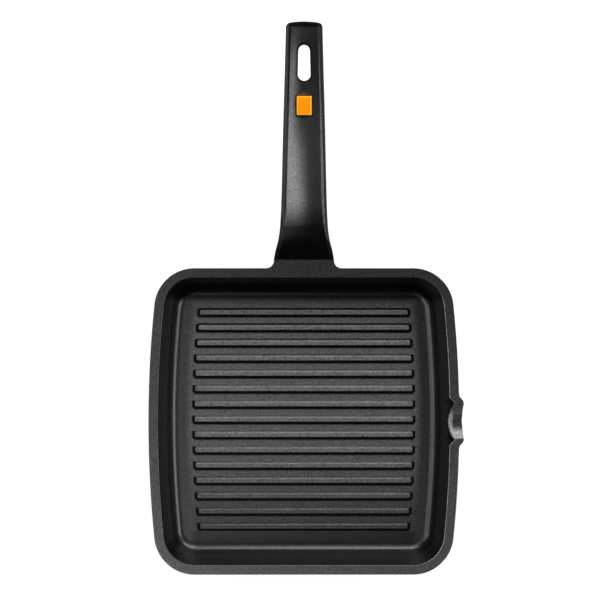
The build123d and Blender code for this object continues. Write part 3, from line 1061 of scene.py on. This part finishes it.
across = [step / across_steps for step in range(1 - across_steps, across_steps)]
top_edge, low_edge = edge_loops[-1], edge_loops[0]
root_top = [moulding.points[top_edge[-2]][0] * share for share in across[::-1]]
root_low = [moulding.points[low_edge[-2]][0] * share for share in across[::-1]]
root_top = moulding.loop((x, joint_y, panel_height(x, joint_y)) for x in root_top)
root_low = moulding.loop((x, joint_y, belly_height_at(x, joint_y)) for x in root_low)
top_holes, low_holes = [upper[0], pocket_rings[0]], [lower[0], bore_rings[0]]
moulding.fill(top_edge + root_top, top_holes, spread(top_edge, panel_height, top_holes, 1, across))
moulding.fill(low_edge + root_low, low_holes, spread(low_edge, belly_height_at, low_holes, 2, across))
right_side = [column[0] for column in edge_loops]
left_side = [column[-1] for column in edge_loops]
moulding.fill(right_side + root_top[::-1] + left_side[::-1] + root_low, axes=(0, 2))
handle_moulding = moulding.build("handle_moulding", sharp_degrees=32)

# %% [markdown]
# ## The coloured tile
#
# A plain orange tile is pressed into the pocket. A cube with a bevel would be flat, so it is built
# from the same rings as its pocket, which follow the handle's crown. Its face stands a little
# proud, and its edge is softly rounded, so that it catches a thin line of light.

# %% Tile
tile = Skin()
tile_edge, half_columns, half_rows = 0.3, 5, 6
tile_rings = [tile.loop(tile_ring(-tile_edge, level=-tile_thickness))]
tile_rings.append(tile.loop(tile_ring(0, level=-tile_thickness + tile_edge)))
for angle in quarter_turns:
    grow, drop = tile_edge * (math.cos(angle) - 1), tile_edge * (1 - math.sin(angle)) - tile_proud
    tile_rings.append(tile.loop(tile_ring(grow, drop=drop)))
tile.strips(tile_rings)
tile.fill(tile_rings[0])
face_points = []
for column in range(1 - half_columns, half_columns):
    for row in range(1 - half_rows, half_rows):
        u, v = column * tile_width / 2 / half_columns, row * tile_length / 2 / half_rows
        face_points.append(tile_point(u, v, tile_surface(u, v) + tile_proud))
tile.fill(tile_rings[-1], inner_points=face_points)
orange_tile = tile.build("orange_tile")

# %% [markdown]
# ## Finishes worked out from the place
#
# Five finishes cover the pan: a speckled charcoal coating, a satin black moulding, an orange
# plastic, turned steel and zinc plating. None of them is one flat colour. Pictures could be
# painted for them, but masks and heights that nodes work out from the place on the piece stay
# sharp at any distance. Each sum, product or ramp of such a mask is one node, and placing the nodes
# one by one hides the sum. So `Value` stands for a number that changes over the surface, and plain
# Python sums of it become Math nodes. `make_group` puts such nodes in a group with named sockets.

# %% Values made of nodes
class Value:
    """A number that changes over the surface: what is done with it becomes nodes."""

    def __init__(self, socket):
        self.socket, self.tree = socket, socket.id_data

    def __add__(self, other):
        return math_value("ADD", self, other)

    def __sub__(self, other):
        return math_value("SUBTRACT", self, other)

    def __rsub__(self, other):
        return math_value("SUBTRACT", other, self)

    def __mul__(self, other):
        return math_value("MULTIPLY", self, other)

    def __truediv__(self, other):
        return math_value("DIVIDE", self, other)

    def __abs__(self):
        return math_value("ABSOLUTE", self)

    def ramp(self, start, stop, low=0.0, high=1.0, kind="SMOOTHSTEP"):
        """Low as far as start and high from stop on, with a soft change between; stop may be smaller."""
        if stop < start:
            start, stop, low, high = stop, start, high, low
        node = self.tree.nodes.new("ShaderNodeMapRange")
        node.interpolation_type = kind
        limits = {"Value": self, "From Min": start, "From Max": stop, "To Min": low, "To Max": high}
        for label, value in limits.items():
            feed(value, node.inputs[label])
        return Value(node.outputs["Result"])

    def band(self, rise_start, rise_stop, fall_start, fall_stop):
        """1 between two soft limits and 0 beyond them."""
        return self.ramp(rise_start, rise_stop) * self.ramp(fall_stop, fall_start)


def feed(value, socket):
    """Links a value to a socket, or sets the socket to a number or a colour."""
    if isinstance(value, Value):
        value.tree.links.new(value.socket, socket)
    else:
        socket.default_value = (*value, 1) if isinstance(value, tuple) else value


def math_value(operation, *values):
    """The result of a Math node fed by values and plain numbers."""
    tree = next(value.tree for value in values if isinstance(value, Value))
    node = tree.nodes.new("ShaderNodeMath")
    node.operation = operation
    for value, socket in zip(values, node.inputs):
        feed(value, socket)
    return Value(node.outputs[0])


def larger(first, second):
    """The larger of two values, which joins two masks."""
    return math_value("MAXIMUM", first, second)


def mix(mask, low, high):
    """Low where the mask is 0 and high where it is 1; high is a colour where low is one."""
    node = mask.tree.nodes.new("ShaderNodeMix")
    if isinstance(high, tuple):
        node.data_type = "RGBA"
    for label, value in {"Factor": mask, "A": low, "B": high}.items():
        feed(value, node.inputs[label])
    return Value(node.outputs["Result"])


print("values can be added, multiplied, ramped and mixed")


# %% Groups of nodes
def make_group(name, inputs, make):
    """A group of nodes: `make` turns its tree and its inputs into its outputs by name."""
    group = bpy.data.node_groups.new(name, "ShaderNodeTree")
    for label, number in inputs.items():
        socket = group.interface.new_socket(label, in_out="INPUT", socket_type="NodeSocketFloat")
        socket.default_value = number
    given = group.nodes.new("NodeGroupInput").outputs
    results = make(group, *[Value(given[label]) for label in inputs])
    for label in results:
        group.interface.new_socket(label, in_out="OUTPUT", socket_type="NodeSocketFloat")
    wanted = group.nodes.new("NodeGroupOutput").inputs
    for label, value in results.items():
        feed(value, wanted[label])
    print("group", name, "gives", ", ".join(results))
    return group


def object_place(tree):
    """The place on the piece, in metres from the frame's origin."""
    return Value(tree.nodes.new("ShaderNodeTexCoord").outputs["Object"])


def axes_of(place):
    """The three coordinates of a place."""
    node = place.tree.nodes.new("ShaderNodeSeparateXYZ")
    feed(place, node.inputs[0])
    return [Value(output) for output in node.outputs]


def place_in_mm(tree):
    """The coordinates of the place on the piece, in millimetres."""
    node = tree.nodes.new("ShaderNodeVectorMath")
    node.operation = "SCALE"
    feed(object_place(tree), node.inputs[0])
    feed(1 / mm, node.inputs["Scale"])
    return axes_of(Value(node.outputs[0]))


def texture(kind, place, scale, detail):
    """A texture node at a scale that may be a value."""
    node = place.tree.nodes.new(kind)
    for label, value in {"Vector": place, "Scale": scale, "Detail": detail}.items():
        feed(value, node.inputs[label])
    return node


print("group tools ready")

# %% [markdown]
# ## Grain, specks and turned rings
#
# Sprayed, moulded and plated surfaces all have a fine uneven height, a non-stick coat holds tiny
# pale specks, and a steel blank shows the rings of the lathe. Each of these is a group, so that
# every finish can place it at its own scale. Noise gives the grain, the cells of a Voronoi texture
# give dots of which only some are chosen, and a sine of the radius gives the rings.

# %% Shared groups
def grain_nodes(tree, fine_scale, coarse_scale, coarse_share):
    """Height of a fine uneven surface on a coarser one."""
    place = object_place(tree)
    fine = texture("ShaderNodeTexNoise", place, fine_scale, 3.0)
    coarse = texture("ShaderNodeTexNoise", place, coarse_scale, 2.0)
    return {"Height": Value(fine.outputs["Fac"]) + Value(coarse.outputs["Fac"]) * coarse_share}


def speck_nodes(tree, scale, size, share):
    """Mask of scattered dots, each with a strength of its own."""
    cells = texture("ShaderNodeTexVoronoi", object_place(tree), scale, 2.0)
    draws = tree.nodes.new("ShaderNodeSeparateColor")
    feed(Value(cells.outputs["Color"]), draws.inputs[0])
    near = math_value("LESS_THAN", Value(cells.outputs["Distance"]), size)
    chosen = math_value("LESS_THAN", Value(draws.outputs[0]), share)
    return {"Mask": near * (chosen * Value(draws.outputs[1]))}


def ring_nodes(tree, spacing, unevenness):
    """Height of fine rings round the middle, spaced in metres."""
    x, y, _ = axes_of(object_place(tree))
    radius = math_value("SQRT", x * x + y * y)
    wave = math_value("SINE", radius / spacing * (2 * math.pi))
    radial = tree.nodes.new("ShaderNodeCombineXYZ")
    feed(radius, radial.inputs[0])
    uneven = texture("ShaderNodeTexNoise", Value(radial.outputs[0]), 900.0, 4.0)
    return {"Height": wave + Value(uneven.outputs["Fac"]) * unevenness}


grain_inputs = {"Fine Scale": 1400.0, "Coarse Scale": 240.0, "Coarse Share": 0.4}
cast_grain = make_group("cast_grain", grain_inputs, grain_nodes)
fine_specks = make_group("fine_specks", {"Scale": 900.0, "Size": 0.22, "Share": 0.3}, speck_nodes)
turned_rings = make_group("turned_rings", {"Spacing": 0.0006, "Unevenness": 0.5}, ring_nodes)

# %% [markdown]
# ## Zones of the cooking floor
#
# The coat's colour carries painted light and shade here. The ribs' tops are painted paler, the
# crest on each rib's side towards the handle gets a painted highlight, the feet and ends of the ribs
# are painted black as their cast shadow, the rows at the front, away from the handle, are painted
# darker, and the floor's border outside the ribs is painted darker as shade. Vertex colours could
# hold this, but they would need very fine faces. Instead, the masks use what the ribs are made from:
# their pitch gives the distance from the middle line of the nearest rib, and the bow of the sides
# gives the line where the ribs end. All lengths in these masks are in millimetres.

# %% Masks of the floor and the ribs
rib_field_reach, rib_field_fade = 101.0, 9.0
above_ribs = (12.5, 11.5)
lower_foot, upper_foot = (-5.6, -4.2, -2.2, -1.6), (2.3, 2.7, 3.6, 4.4)
rib_end_band, rib_end_width, last_ribs = (99.5, 100.1, 101.8, 103.0), (3.8, 3.0), (103.5, 102.5)


def bow_out(x, y):
    """How far out x is, with the sides' bow taken out."""
    return abs(x) + y * y * (0.5 / bow_radius)


def rib_zone_nodes(tree, pitch, field_reach, field_fade):
    """Masks of the floor's field and of the ribs' tops, crests and feet, for painted light and shade."""
    x, y, z = place_in_mm(tree)
    offset = (math_value("FRACT", y / pitch + 0.5) - 0.5) * pitch
    bowed_x = bow_out(x, y)
    beyond = larger(bowed_x, abs(y) - 1.5) - field_reach
    low_down = z.ramp(*above_ribs)
    in_ribs = beyond.ramp(0.5, -0.5) * low_down
    upper_strength = y.ramp(35, 90, 0.25, 1.0)
    upper = offset.band(*upper_foot) * z.ramp(7.8, 7.2) * upper_strength
    feet = (offset.band(*lower_foot) + upper) * in_ribs
    ends = abs(offset).ramp(*rib_end_width) * bowed_x.band(*rib_end_band)
    # Tops, crests, feet, field and far rows set painted light and shade in the coating's colour.
    return {
        "Field": (beyond / field_fade).ramp(1.0, 0.0) * y.ramp(-104, -102),
        "Far Rows": y.ramp(-115, -15),
        "Tops": in_ribs * z.ramp(8.2, 8.8),
        "Crests": in_ribs * z.ramp(7.6, 8.2) * offset.ramp(1.1, 1.7),
        "Feet": larger(feet, ends * abs(y).ramp(*last_ribs) * low_down),
    }


rib_inputs = {"Pitch": rib_pitch, "Field Reach": rib_field_reach, "Field Fade": rib_field_fade}
rib_zones = make_group("rib_zones", rib_inputs, rib_zone_nodes)

# %% [markdown]
# ## Zones of the walls, the rim and the spout
#
# The coat's colour carries painted shade and painted highlights here too. The walls are painted
# darker than the rim as shade, the rim is painted darker towards the handle, and the rim's rounded
# inner edge gets a painted highlight, strongest on the right. The spout's channel gets a painted
# highlight, brightest on its round and on its side away from the handle. Heights split wall from
# rim. The edge follows the same bowed line as the rim and turns out with the spout's funnel, and
# the four borders of the floor each have a mask of their own, for the fall of light on the film.

# %% Masks of the walls and the rim
wall_foot, wall_fade, rim_top_band = 7.5, 6.0, (0.3, 0.7)
funnel_curve, funnel_slope, funnel_limit = 0.0187, 0.85, 22.8
edge_line, edge_end, edge_drop = (133.5, 133.0), (131.5, 131.0), (0.02, 0.08, 0.4, 0.7)
channel_mouth, channel_width, channel_drop = (129.8, 130.8), (17.6, 16.4), (0.2, 0.8, 9.5, 11.0)
near_border_band, lug_end = (-118.5, -116.5, -103.5, -101.5), (160, 150)


def wall_zone_nodes(tree, foot, top):
    """Masks of the walls, the rim, its edge, the spout, the borders and the joint."""
    x, y, z = place_in_mm(tree)
    above_foot, under_top, across = z - foot, top - z, abs(y)
    on_wall = above_foot.ramp(0, wall_fade) * under_top.ramp(*rim_top_band)
    curve = y * y * funnel_curve
    flare = larger(funnel_limit - across, 0.0) * funnel_slope
    flare = math_value("MINIMUM", curve, flare)
    within = (bow_out(x, y) - flare).ramp(*edge_line) * across.ramp(*edge_end)
    beside_spout = larger(across.ramp(16, 17.5), x.ramp(132.5, 130.5))
    from_mouth = x - curve
    in_channel = from_mouth.ramp(*channel_mouth) * across.ramp(*channel_width)
    mouth_round = from_mouth.ramp(135, 132.5) * y.ramp(12, 2)
    far_wall_line = (y + under_top * 0.25).ramp(131.2, 130.2)
    # Walls, Far Rim, Edge and the spout's masks set painted shade and highlights in the coating's colour.
    return {
        "Walls": on_wall,
        "Side Walls": on_wall * abs(x).ramp(112, 118),
        "Far Side": y.ramp(104, 120),
        "Right Side": x.ramp(100, 122),
        "Rim": under_top.ramp(*rim_top_band[::-1]),
        "Far Rim": y.ramp(-134, 140, kind="LINEAR"),
        "Edge": within * beside_spout * under_top.band(*edge_drop),
        "Spout": in_channel * under_top.band(*channel_drop),
        "Spout Sides": y.ramp(4, 8),
        "Spout Round": larger(mouth_round, y.ramp(-4, -11.5)),
        "Far Border": y.ramp(107, 113) * far_wall_line * under_top.ramp(0.4, 0.8),
        "Near Border": abs(x).ramp(107, 97) * y.band(*near_border_band) * above_foot.ramp(4, 2),
        "Joint": y.ramp(joint_y - 1.0, joint_y - 0.6) * y.ramp(*lug_end),
    }


wall_zones = make_group("wall_zones", {"Wall Foot": wall_foot, "Rim Top": rim_height}, wall_zone_nodes)

# %% [markdown]
# ## Zones of the handle and the tile
#
# On the handle, the root and the tip's edge turn away from the light, the left facet gets a painted
# highlight in its colour, and the slot and the tile each have a dark line round them, which is the
# shadow in their gap. The masks need the distance in from the handle's edge: two straight lines,
# one for the slim grip and one for the flared root, are near enough to its half-width. The distance
# from the slot is that from a line between the centres of its ends, and the tile's is that from a
# rectangle.

# %% Masks of the handle and the tile
slim_width, slim_from, slim_taper = 16.8, 325.0, 0.0259
flare_width, flare_from, flare_taper = 22.1, 170.4, 0.178
step_band, facet_band = (2.2, 2.8, 4.2, 5.0), (0.4, 0.9, 2.1, 2.7)
slot_middle, slot_reach = (slot_tip[0] + slot_inner[0]) / 2, (slot_tip[0] - slot_inner[0]) / 2
slot_half_width = (slot_tip[1] + slot_inner[1]) / 2
slot_taper = (slot_inner[1] - slot_tip[1]) / 2 / slot_reach


def handle_zone_nodes(tree, slim, flare):
    """Masks of the handle's dark ends, left step and facet, and the slot's dark line."""
    x, y, _ = place_in_mm(tree)
    slim_line = (slim_from - y) * slim_taper + slim
    flare_line = (flare_from - y) * flare_taper + flare
    inside = larger(slim_line, flare_line) - abs(x)
    root = y.ramp(197, 174, kind="LINEAR") * inside.ramp(2.2, 4.2)
    left = x.ramp(2, -2) * y.ramp(180, 190)
    from_middle = slot_middle - y
    past_end = larger(abs(from_middle) - slot_reach, 0.0)
    from_line = math_value("SQRT", x * x + past_end * past_end)
    from_slot = from_line - (from_middle * slot_taper + slot_half_width)
    # Left Facet sets a painted highlight in the moulding's colour.
    return {
        "Ends": larger(root, y.ramp(349, 350.2)),
        "Left Step": left * inside.band(*step_band),
        "Left Facet": left * inside.band(*facet_band),
        "Slot Rim": from_slot.ramp(1.5, 0.9),
    }


def tile_zone_nodes(tree):
    """Distance from the tile's edge in millimetres, negative on the tile."""
    x, y, _ = place_in_mm(tree)
    return {"From Edge": larger(abs(x) - tile_width / 2, abs(y - tile_y) - tile_length / 2)}


handle_inputs = {"Slim Width": slim_width, "Flare Width": flare_width}
handle_zones = make_group("handle_zones", handle_inputs, handle_zone_nodes)
tile_zone = make_group("tile_zone", {}, tile_zone_nodes)

# %% [markdown]
# ## Tools for the finishes
#
# Each finish is one material with one Principled shader. What is the same all over the piece is a
# number on the shader's own socket, and what changes is linked. The real surfaces are satin films
# over a dark ground, and a single rough surface looks like chalk instead, so the shader's coat
# layer makes the film. Its weight follows a fine mottle, and it is dimmed where masks say so.

# %% Tools for the finishes
noise_range = (0.3, 0.7)


def grey(value):
    """A neutral grey."""
    return (value, value, value)


def new_material(name, color, roughness, **numbers):
    """A material, its tree and its shader's sockets, each first set to what is the same all over."""
    material = bpy.data.materials.new(name)
    material.use_nodes = True
    sockets = material.node_tree.nodes["Principled BSDF"].inputs
    for label, value in {"Base_Color": color, "Roughness": roughness, **numbers}.items():
        feed(value, sockets[label.replace("_", " ")])
    return material, material.node_tree, sockets


def use_group(tree, group, **values):
    """A group placed in a material with its own values; gives its outputs by name."""
    node = tree.nodes.new("ShaderNodeGroup")
    node.node_tree = group
    for label, value in values.items():
        feed(value, node.inputs[label.replace("_", " ")])
    return {output.name: Value(output) for output in node.outputs}


def add_bump(sockets, height, depth):
    """A bump of a real depth in metres."""
    bump = height.tree.nodes.new("ShaderNodeBump")
    for label, value in {"Height": height, "Distance": depth, "Strength": 1.0}.items():
        feed(value, bump.inputs[label])
    feed(Value(bump.outputs["Normal"]), sockets["Normal"])


def add_film(sockets, mottle, dimmed):
    """A satin film on the bump, uneven by the mottle and weaker where the dimming masks are."""
    weight = mottle * 0.4 + 0.5
    for mask, fall in dimmed:
        weight = weight * (1 - mask * fall)
    feed(weight, sockets["Coat Weight"])
    feed(Value(sockets["Normal"].links[0].from_socket), sockets["Coat Normal"])


print("finish tools ready")

# %% [markdown]
# ## The speckled coating
#
# The casting is sprayed with a dark non-stick coat, which is nearly black with tiny pale specks
# under its film. The ground's grey comes from a list of layers, each laid over those before it by
# its mask, so that one zone can be changed without touching the others. The film is dimmed at the
# feet of the ribs, in the joint and where a wall shades the floor.

# %% Coating
coating, tree, sockets = new_material(
    "speckled_coating", grey(0.03), 0.33, Specular_IOR_Level=0.05, Coat_Roughness=0.33, Coat_IOR=1.52
)
specks = use_group(tree, fine_specks, Scale=750.0, Size=0.36, Share=0.5)["Mask"]
grain = use_group(tree, cast_grain, Fine_Scale=1500.0, Coarse_Scale=220.0, Coarse_Share=0.5)["Height"]
mottle = use_group(tree, cast_grain, Fine_Scale=950.0, Coarse_Scale=260.0, Coarse_Share=0.1)["Height"]
mottle = mottle.ramp(0.34, 0.66, 0.15, 1.65, "LINEAR")
ribs, walls = use_group(tree, rib_zones), use_group(tree, wall_zones)
far_rows = ribs["Far Rows"]
# The rim's inner edge gets a painted highlight, strongest on the right and none on the far side.
edge_highlight_grey = mix(walls["Far Side"], mix(walls["Right Side"], 0.07, 0.33), 0.004)
# The spout's channel gets a painted highlight, brightest on its round and its side away from the handle.
spout_highlight_grey = mix(walls["Spout Round"], mix(walls["Spout Sides"], 0.012, 0.045), 0.155)
ground = 0.0015
for mask, layer in [
    # The field of ribs is painted lighter than the floor's border, which is painted shade, and lighter on the
    # rows towards the handle.
    (ribs["Field"], mix(far_rows, 0.008, 0.038)),
    # The ribs' tops are painted paler, most on the rows towards the handle.
    (ribs["Tops"], mix(far_rows, 0.010, 0.066)),
    # A painted highlight along each rib's crest on the handle's side.
    (ribs["Crests"], mix(far_rows, 0.05, 0.10)),
    # The feet and ends of the ribs are painted black as their cast shadow.
    (ribs["Feet"], 0.001),
    # The walls are painted darker than the rim, as shade.
    (walls["Walls"], 0.002),
    # The rim is painted darker towards the handle.
    (walls["Rim"], mix(walls["Far Rim"], 0.024, 0.006)),
    (walls["Edge"], edge_highlight_grey),
    (walls["Spout"], spout_highlight_grey),
    (walls["Joint"], 0.001),
]:
    ground = mix(mask, ground, layer)
feed(ground * (specks * 3.0 + mottle), sockets["Base Color"])
feed(grain.ramp(*noise_range, 0.3, 0.36, "LINEAR"), sockets["Roughness"])
add_bump(sockets, grain, 0.00003)
add_film(sockets, mottle, [
    (ribs["Feet"], 1.0),
    (walls["Far Border"], 0.9),
    (walls["Near Border"], 0.55),
    (walls["Side Walls"], 0.5),
    (walls["Joint"], 1.0),
    ((1 - far_rows) * ribs["Field"], 0.35),
    (walls["Rim"] * walls["Far Rim"], 0.35),
])
print(coating.name, "has", len(tree.nodes), "nodes")

# %% [markdown]
# ## The satin moulding
#
# The handle is a hard black moulding with a fine sparked texture, which gives it a satin sheen. It
# gets the same kind of film as the coating, a little smoother, over an almost black ground. The
# film is dimmed beside the tile and round the slot, and inside the slot the roughness rises too,
# so that its wall doesn't mirror the white floor.

# %% Moulding
phenolic, tree, sockets = new_material(
    "satin_phenolic", grey(0.002), 0.25, Specular_IOR_Level=0.05, Coat_Roughness=0.25, Coat_IOR=1.65
)
grain = use_group(tree, cast_grain, Fine_Scale=1100.0, Coarse_Scale=300.0, Coarse_Share=0.3)["Height"]
mottle = use_group(tree, cast_grain, Fine_Scale=600.0, Coarse_Scale=300.0, Coarse_Share=0.1)["Height"]
zones = use_group(tree, handle_zones)
beside_tile = use_group(tree, tile_zone)["From Edge"].ramp(1.3, 0.6)
satin = grain.ramp(*noise_range, 0.22, 0.27, "LINEAR")
# The left facet's paler colour is a painted highlight.
feed(mix(zones["Left Facet"], mix(grain, 0.001, 0.002), 0.03), sockets["Base Color"])
feed(mix(zones["Slot Rim"], satin, 0.9), sockets["Roughness"])
add_bump(sockets, grain, 0.000018)
add_film(sockets, mottle.ramp(*noise_range, 0.2, 1.7, "LINEAR"), [
    (zones["Ends"], 0.96),
    (zones["Left Step"], 0.75),
    (zones["Slot Rim"], 1.0),
    (beside_tile, 1.0),
])
print(phenolic.name, "has", len(tree.nodes), "nodes")

# %% [markdown]
# ## The orange plastic
#
# The tile is plain coloured plastic, moulded with a fine line a little way in from its edge. The
# line could be cut into the mesh, but it is only 0.3 mm wide, so a darker ring painted as the
# groove's shade and a paler border outside it as the painted highlight on its edge, both at a
# distance from the edge, show it well enough.

# %% Tile's plastic
orange, tree, sockets = new_material("orange_plastic", (0.6, 0.18, 0.0015), 0.3, Specular_IOR_Level=0.03)
grain = use_group(tree, cast_grain, Fine_Scale=2200.0, Coarse_Scale=300.0, Coarse_Share=0.6)["Height"]
from_edge = use_group(tree, tile_zone)["From Edge"]
face = mix(grain, (0.57, 0.17, 0.001), (0.63, 0.195, 0.002))
# The paler border and the darker ring inside it are the painted highlight and shade of a fine groove.
face = mix(from_edge.band(-1.6, -1.3, -0.4, -0.1), face, (0.66, 0.26, 0.02))
face = mix(from_edge.band(-2.3, -2.0, -1.8, -1.5), face, (0.50, 0.14, 0.001))
feed(face, sockets["Base Color"])
add_bump(sockets, grain, 0.000006)
print(orange.name, "has", len(tree.nodes), "nodes")

# %% [markdown]
# ## Steel and zinc
#
# The plate in the base is turned steel: a metal with rings in its bump, which stretch each
# highlight into a fan as on the real plate. The screw and its washer are zinc-plated, with a
# fine uneven gloss.

# %% Metals
base_steel, tree, sockets = new_material("turned_steel", (0.56, 0.56, 0.57), 0.32, Metallic=1.0)
rings = use_group(tree, turned_rings, Spacing=0.0007, Unevenness=1.2)["Height"]
add_bump(sockets, rings, 0.00002)
zinc, tree, sockets = new_material("zinc_plating", (0.6, 0.6, 0.61), 0.3, Metallic=1.0)
grain = use_group(tree, cast_grain, Fine_Scale=4000.0, Coarse_Scale=900.0, Coarse_Share=0.8)["Height"]
feed(grain.ramp(*noise_range, 0.26, 0.38, "LINEAR"), sockets["Roughness"])
add_bump(sockets, grain, 0.00001)
print("metals:", base_steel.name, zinc.name)

# %% [markdown]
# ## Pieces in their places
#
# Each finer mesh gets its finish, rides on the CAD model's one body and takes the place of a CAD
# solid. The screw and the washer keep their CAD meshes, so only their finish is set, on the
# object and not on the mesh.

# %% Finishes on the pieces
for piece, material, node, slot_name in [
    (pan_casting, coating, "pan_body", "pan_coating"),
    (steel_plate, base_steel, "induction_plate", "base_steel"),
    (handle_moulding, phenolic, "handle", "handle_phenolic"),
    (orange_tile, orange, "handle_inlay", "inlay_orange"),
]:
    piece.data.materials.append(material)
    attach(piece, "root")
    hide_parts(node)
for node in ("fixing_screw", "lock_washer"):
    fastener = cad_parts[node]
    if not fastener.material_slots:
        fastener.data.materials.append(zinc)
    for material_slot in fastener.material_slots:
        material_slot.link = "OBJECT"
        material_slot.material = zinc
print("materials:", [material.name for material in bpy.data.materials])

# %% [markdown]
# ## The floor
#
# The pan stands on plain white paper. Lamps strong enough to make paper white would also flatten
# the dark pan, so the floor itself is grey and gets a glow that only the camera, reflections and
# glass see. It stays white, and it doesn't light the pan from below.

# %% Floor and world
floor_reach, floor_drop, floor_glow, world_strength = 30.0, 0.0002, 0.88, 0.02


def seen_directly(tree):
    """1 for what the camera, a reflection or glass sees, and 0 for light on other things."""
    path = tree.nodes.new("ShaderNodeLightPath").outputs
    kinds = [Value(path[f"Is {kind} Ray"]) for kind in ("Camera", "Glossy", "Transmission")]
    return larger(larger(kinds[0], kinds[1]), kinds[2])


floor_mesh = bpy.data.meshes.new("studio_floor")
floor_corners = [(x * floor_reach, y * floor_reach, 0) for x, y in ((-1, -1), (1, -1), (1, 1), (-1, 1))]
floor_mesh.from_pydata(floor_corners, [], [(0, 1, 2, 3)])
floor = bpy.data.objects.new("studio_floor", floor_mesh)
bpy.context.scene.collection.objects.link(floor)
floor.location.z = -floor_drop
floor_paper, tree, sockets = new_material("white_floor", grey(0.2), 0.9, Emission_Color=grey(1))
feed(seen_directly(tree) * floor_glow, sockets["Emission Strength"])
floor_mesh.materials.append(floor_paper)
floor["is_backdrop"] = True

world = bpy.data.worlds.new("studio")
bpy.context.scene.world = world
world.use_nodes = True
background = world.node_tree.nodes["Background"]
background.inputs["Color"].default_value = (1, 1, 1, 1)
background.inputs["Strength"].default_value = world_strength
bpy.context.scene.view_settings.view_transform = "Standard"
print("floor", 2 * floor_reach, "m across, world strength", world_strength)

# %% [markdown]
# ## The lamps
#
# A dark satin object shows mostly the reflections of what lights it. One big soft box would give
# it one flat grey, so fifteen small boxes stand where the pan shows a light: behind the handle,
# left of the walls, in front for the floor's near fillet, and low on the right for the rim's edge.
# High boxes aim at the middle of the pan. Low ones aim nearer to themselves.

# %% Lamps
aim_centre, low_lamps_below, low_lean_in = Vector((0, 0.1, 0.05)), 1.0, 0.3


def lamp(name, place, size, power):
    """A soft box in watts and metres, which shines at the pan and is itself unseen."""
    data = bpy.data.lights.new(name, "AREA")
    data.shape = "RECTANGLE"
    data.size, data.size_y = size
    data.energy = power
    piece = bpy.data.objects.new(name, data)
    bpy.context.scene.collection.objects.link(piece)
    piece.location = place
    lean_in = low_lean_in if place[2] < low_lamps_below else 0.0
    aim = aim_centre + Vector((place[0], place[1] - aim_centre.y, 0)) * lean_in
    piece.rotation_euler = (aim - piece.location).to_track_quat("-Z", "Y").to_euler()
    piece.visible_camera = False


lamps = [
    ("back_high_box", (0.0, 0.917, 1.308), (0.45, 0.55), 5.2),
    ("back_low_box", (0.0, 1.459, 0.684), (0.45, 0.45), 3.4),
    ("back_strip", (0.3, 0.95, 0.6), (0.24, 0.24), 3.2),
    ("handle_box", (0.0, 0.7, 0.6), (0.24, 0.24), 2.2),
    ("right_back_box", (0.6, 0.7, 0.6), (0.24, 0.24), 3.7),
    ("right_front_box", (0.6, -0.08, 0.6), (0.24, 0.3), 2.4),
    ("left_fill", (-0.3, 0.1, 0.6), (0.24, 0.24), 0.26),
    ("left_high_box", (-0.513, 0.1, 1.46), (0.3, 0.3), 1.0),
    ("left_box", (-1.149, 0.1, 1.014), (0.45, 0.45), 4.0),
    ("front_left_box", (-0.514, -0.414, 1.362), (0.45, 0.45), 3.3),
    ("right_high_box", (0.33, -0.3, 1.45), (0.6, 0.6), 0.4),
    ("front_high_box", (-0.19, -0.59, 1.37), (0.36, 0.36), 2.1),
    ("front_box", (-0.40, -0.83, 1.129), (0.4, 0.3), 1.2),
    ("right_panel", (1.449, 0.1, 0.438), (0.8, 0.8), 0.6),
    ("left_panel", (-1.449, 0.1, 0.438), (0.8, 0.8), 0.3),
]
for entry in lamps:
    lamp(*entry)
print(len(lamps), "lamps")

# %% [markdown]
# ## Last checks
#
# The dressed pan has to stay inside the CAD model's box.

# %% Sizes and finish
seen_low, seen_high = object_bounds()
pairs = zip([*cad_low, *seen_high], [*seen_low, *cad_high])
print("grown by (mm):", [round((a - b) / mm, 2) for a, b in pairs])
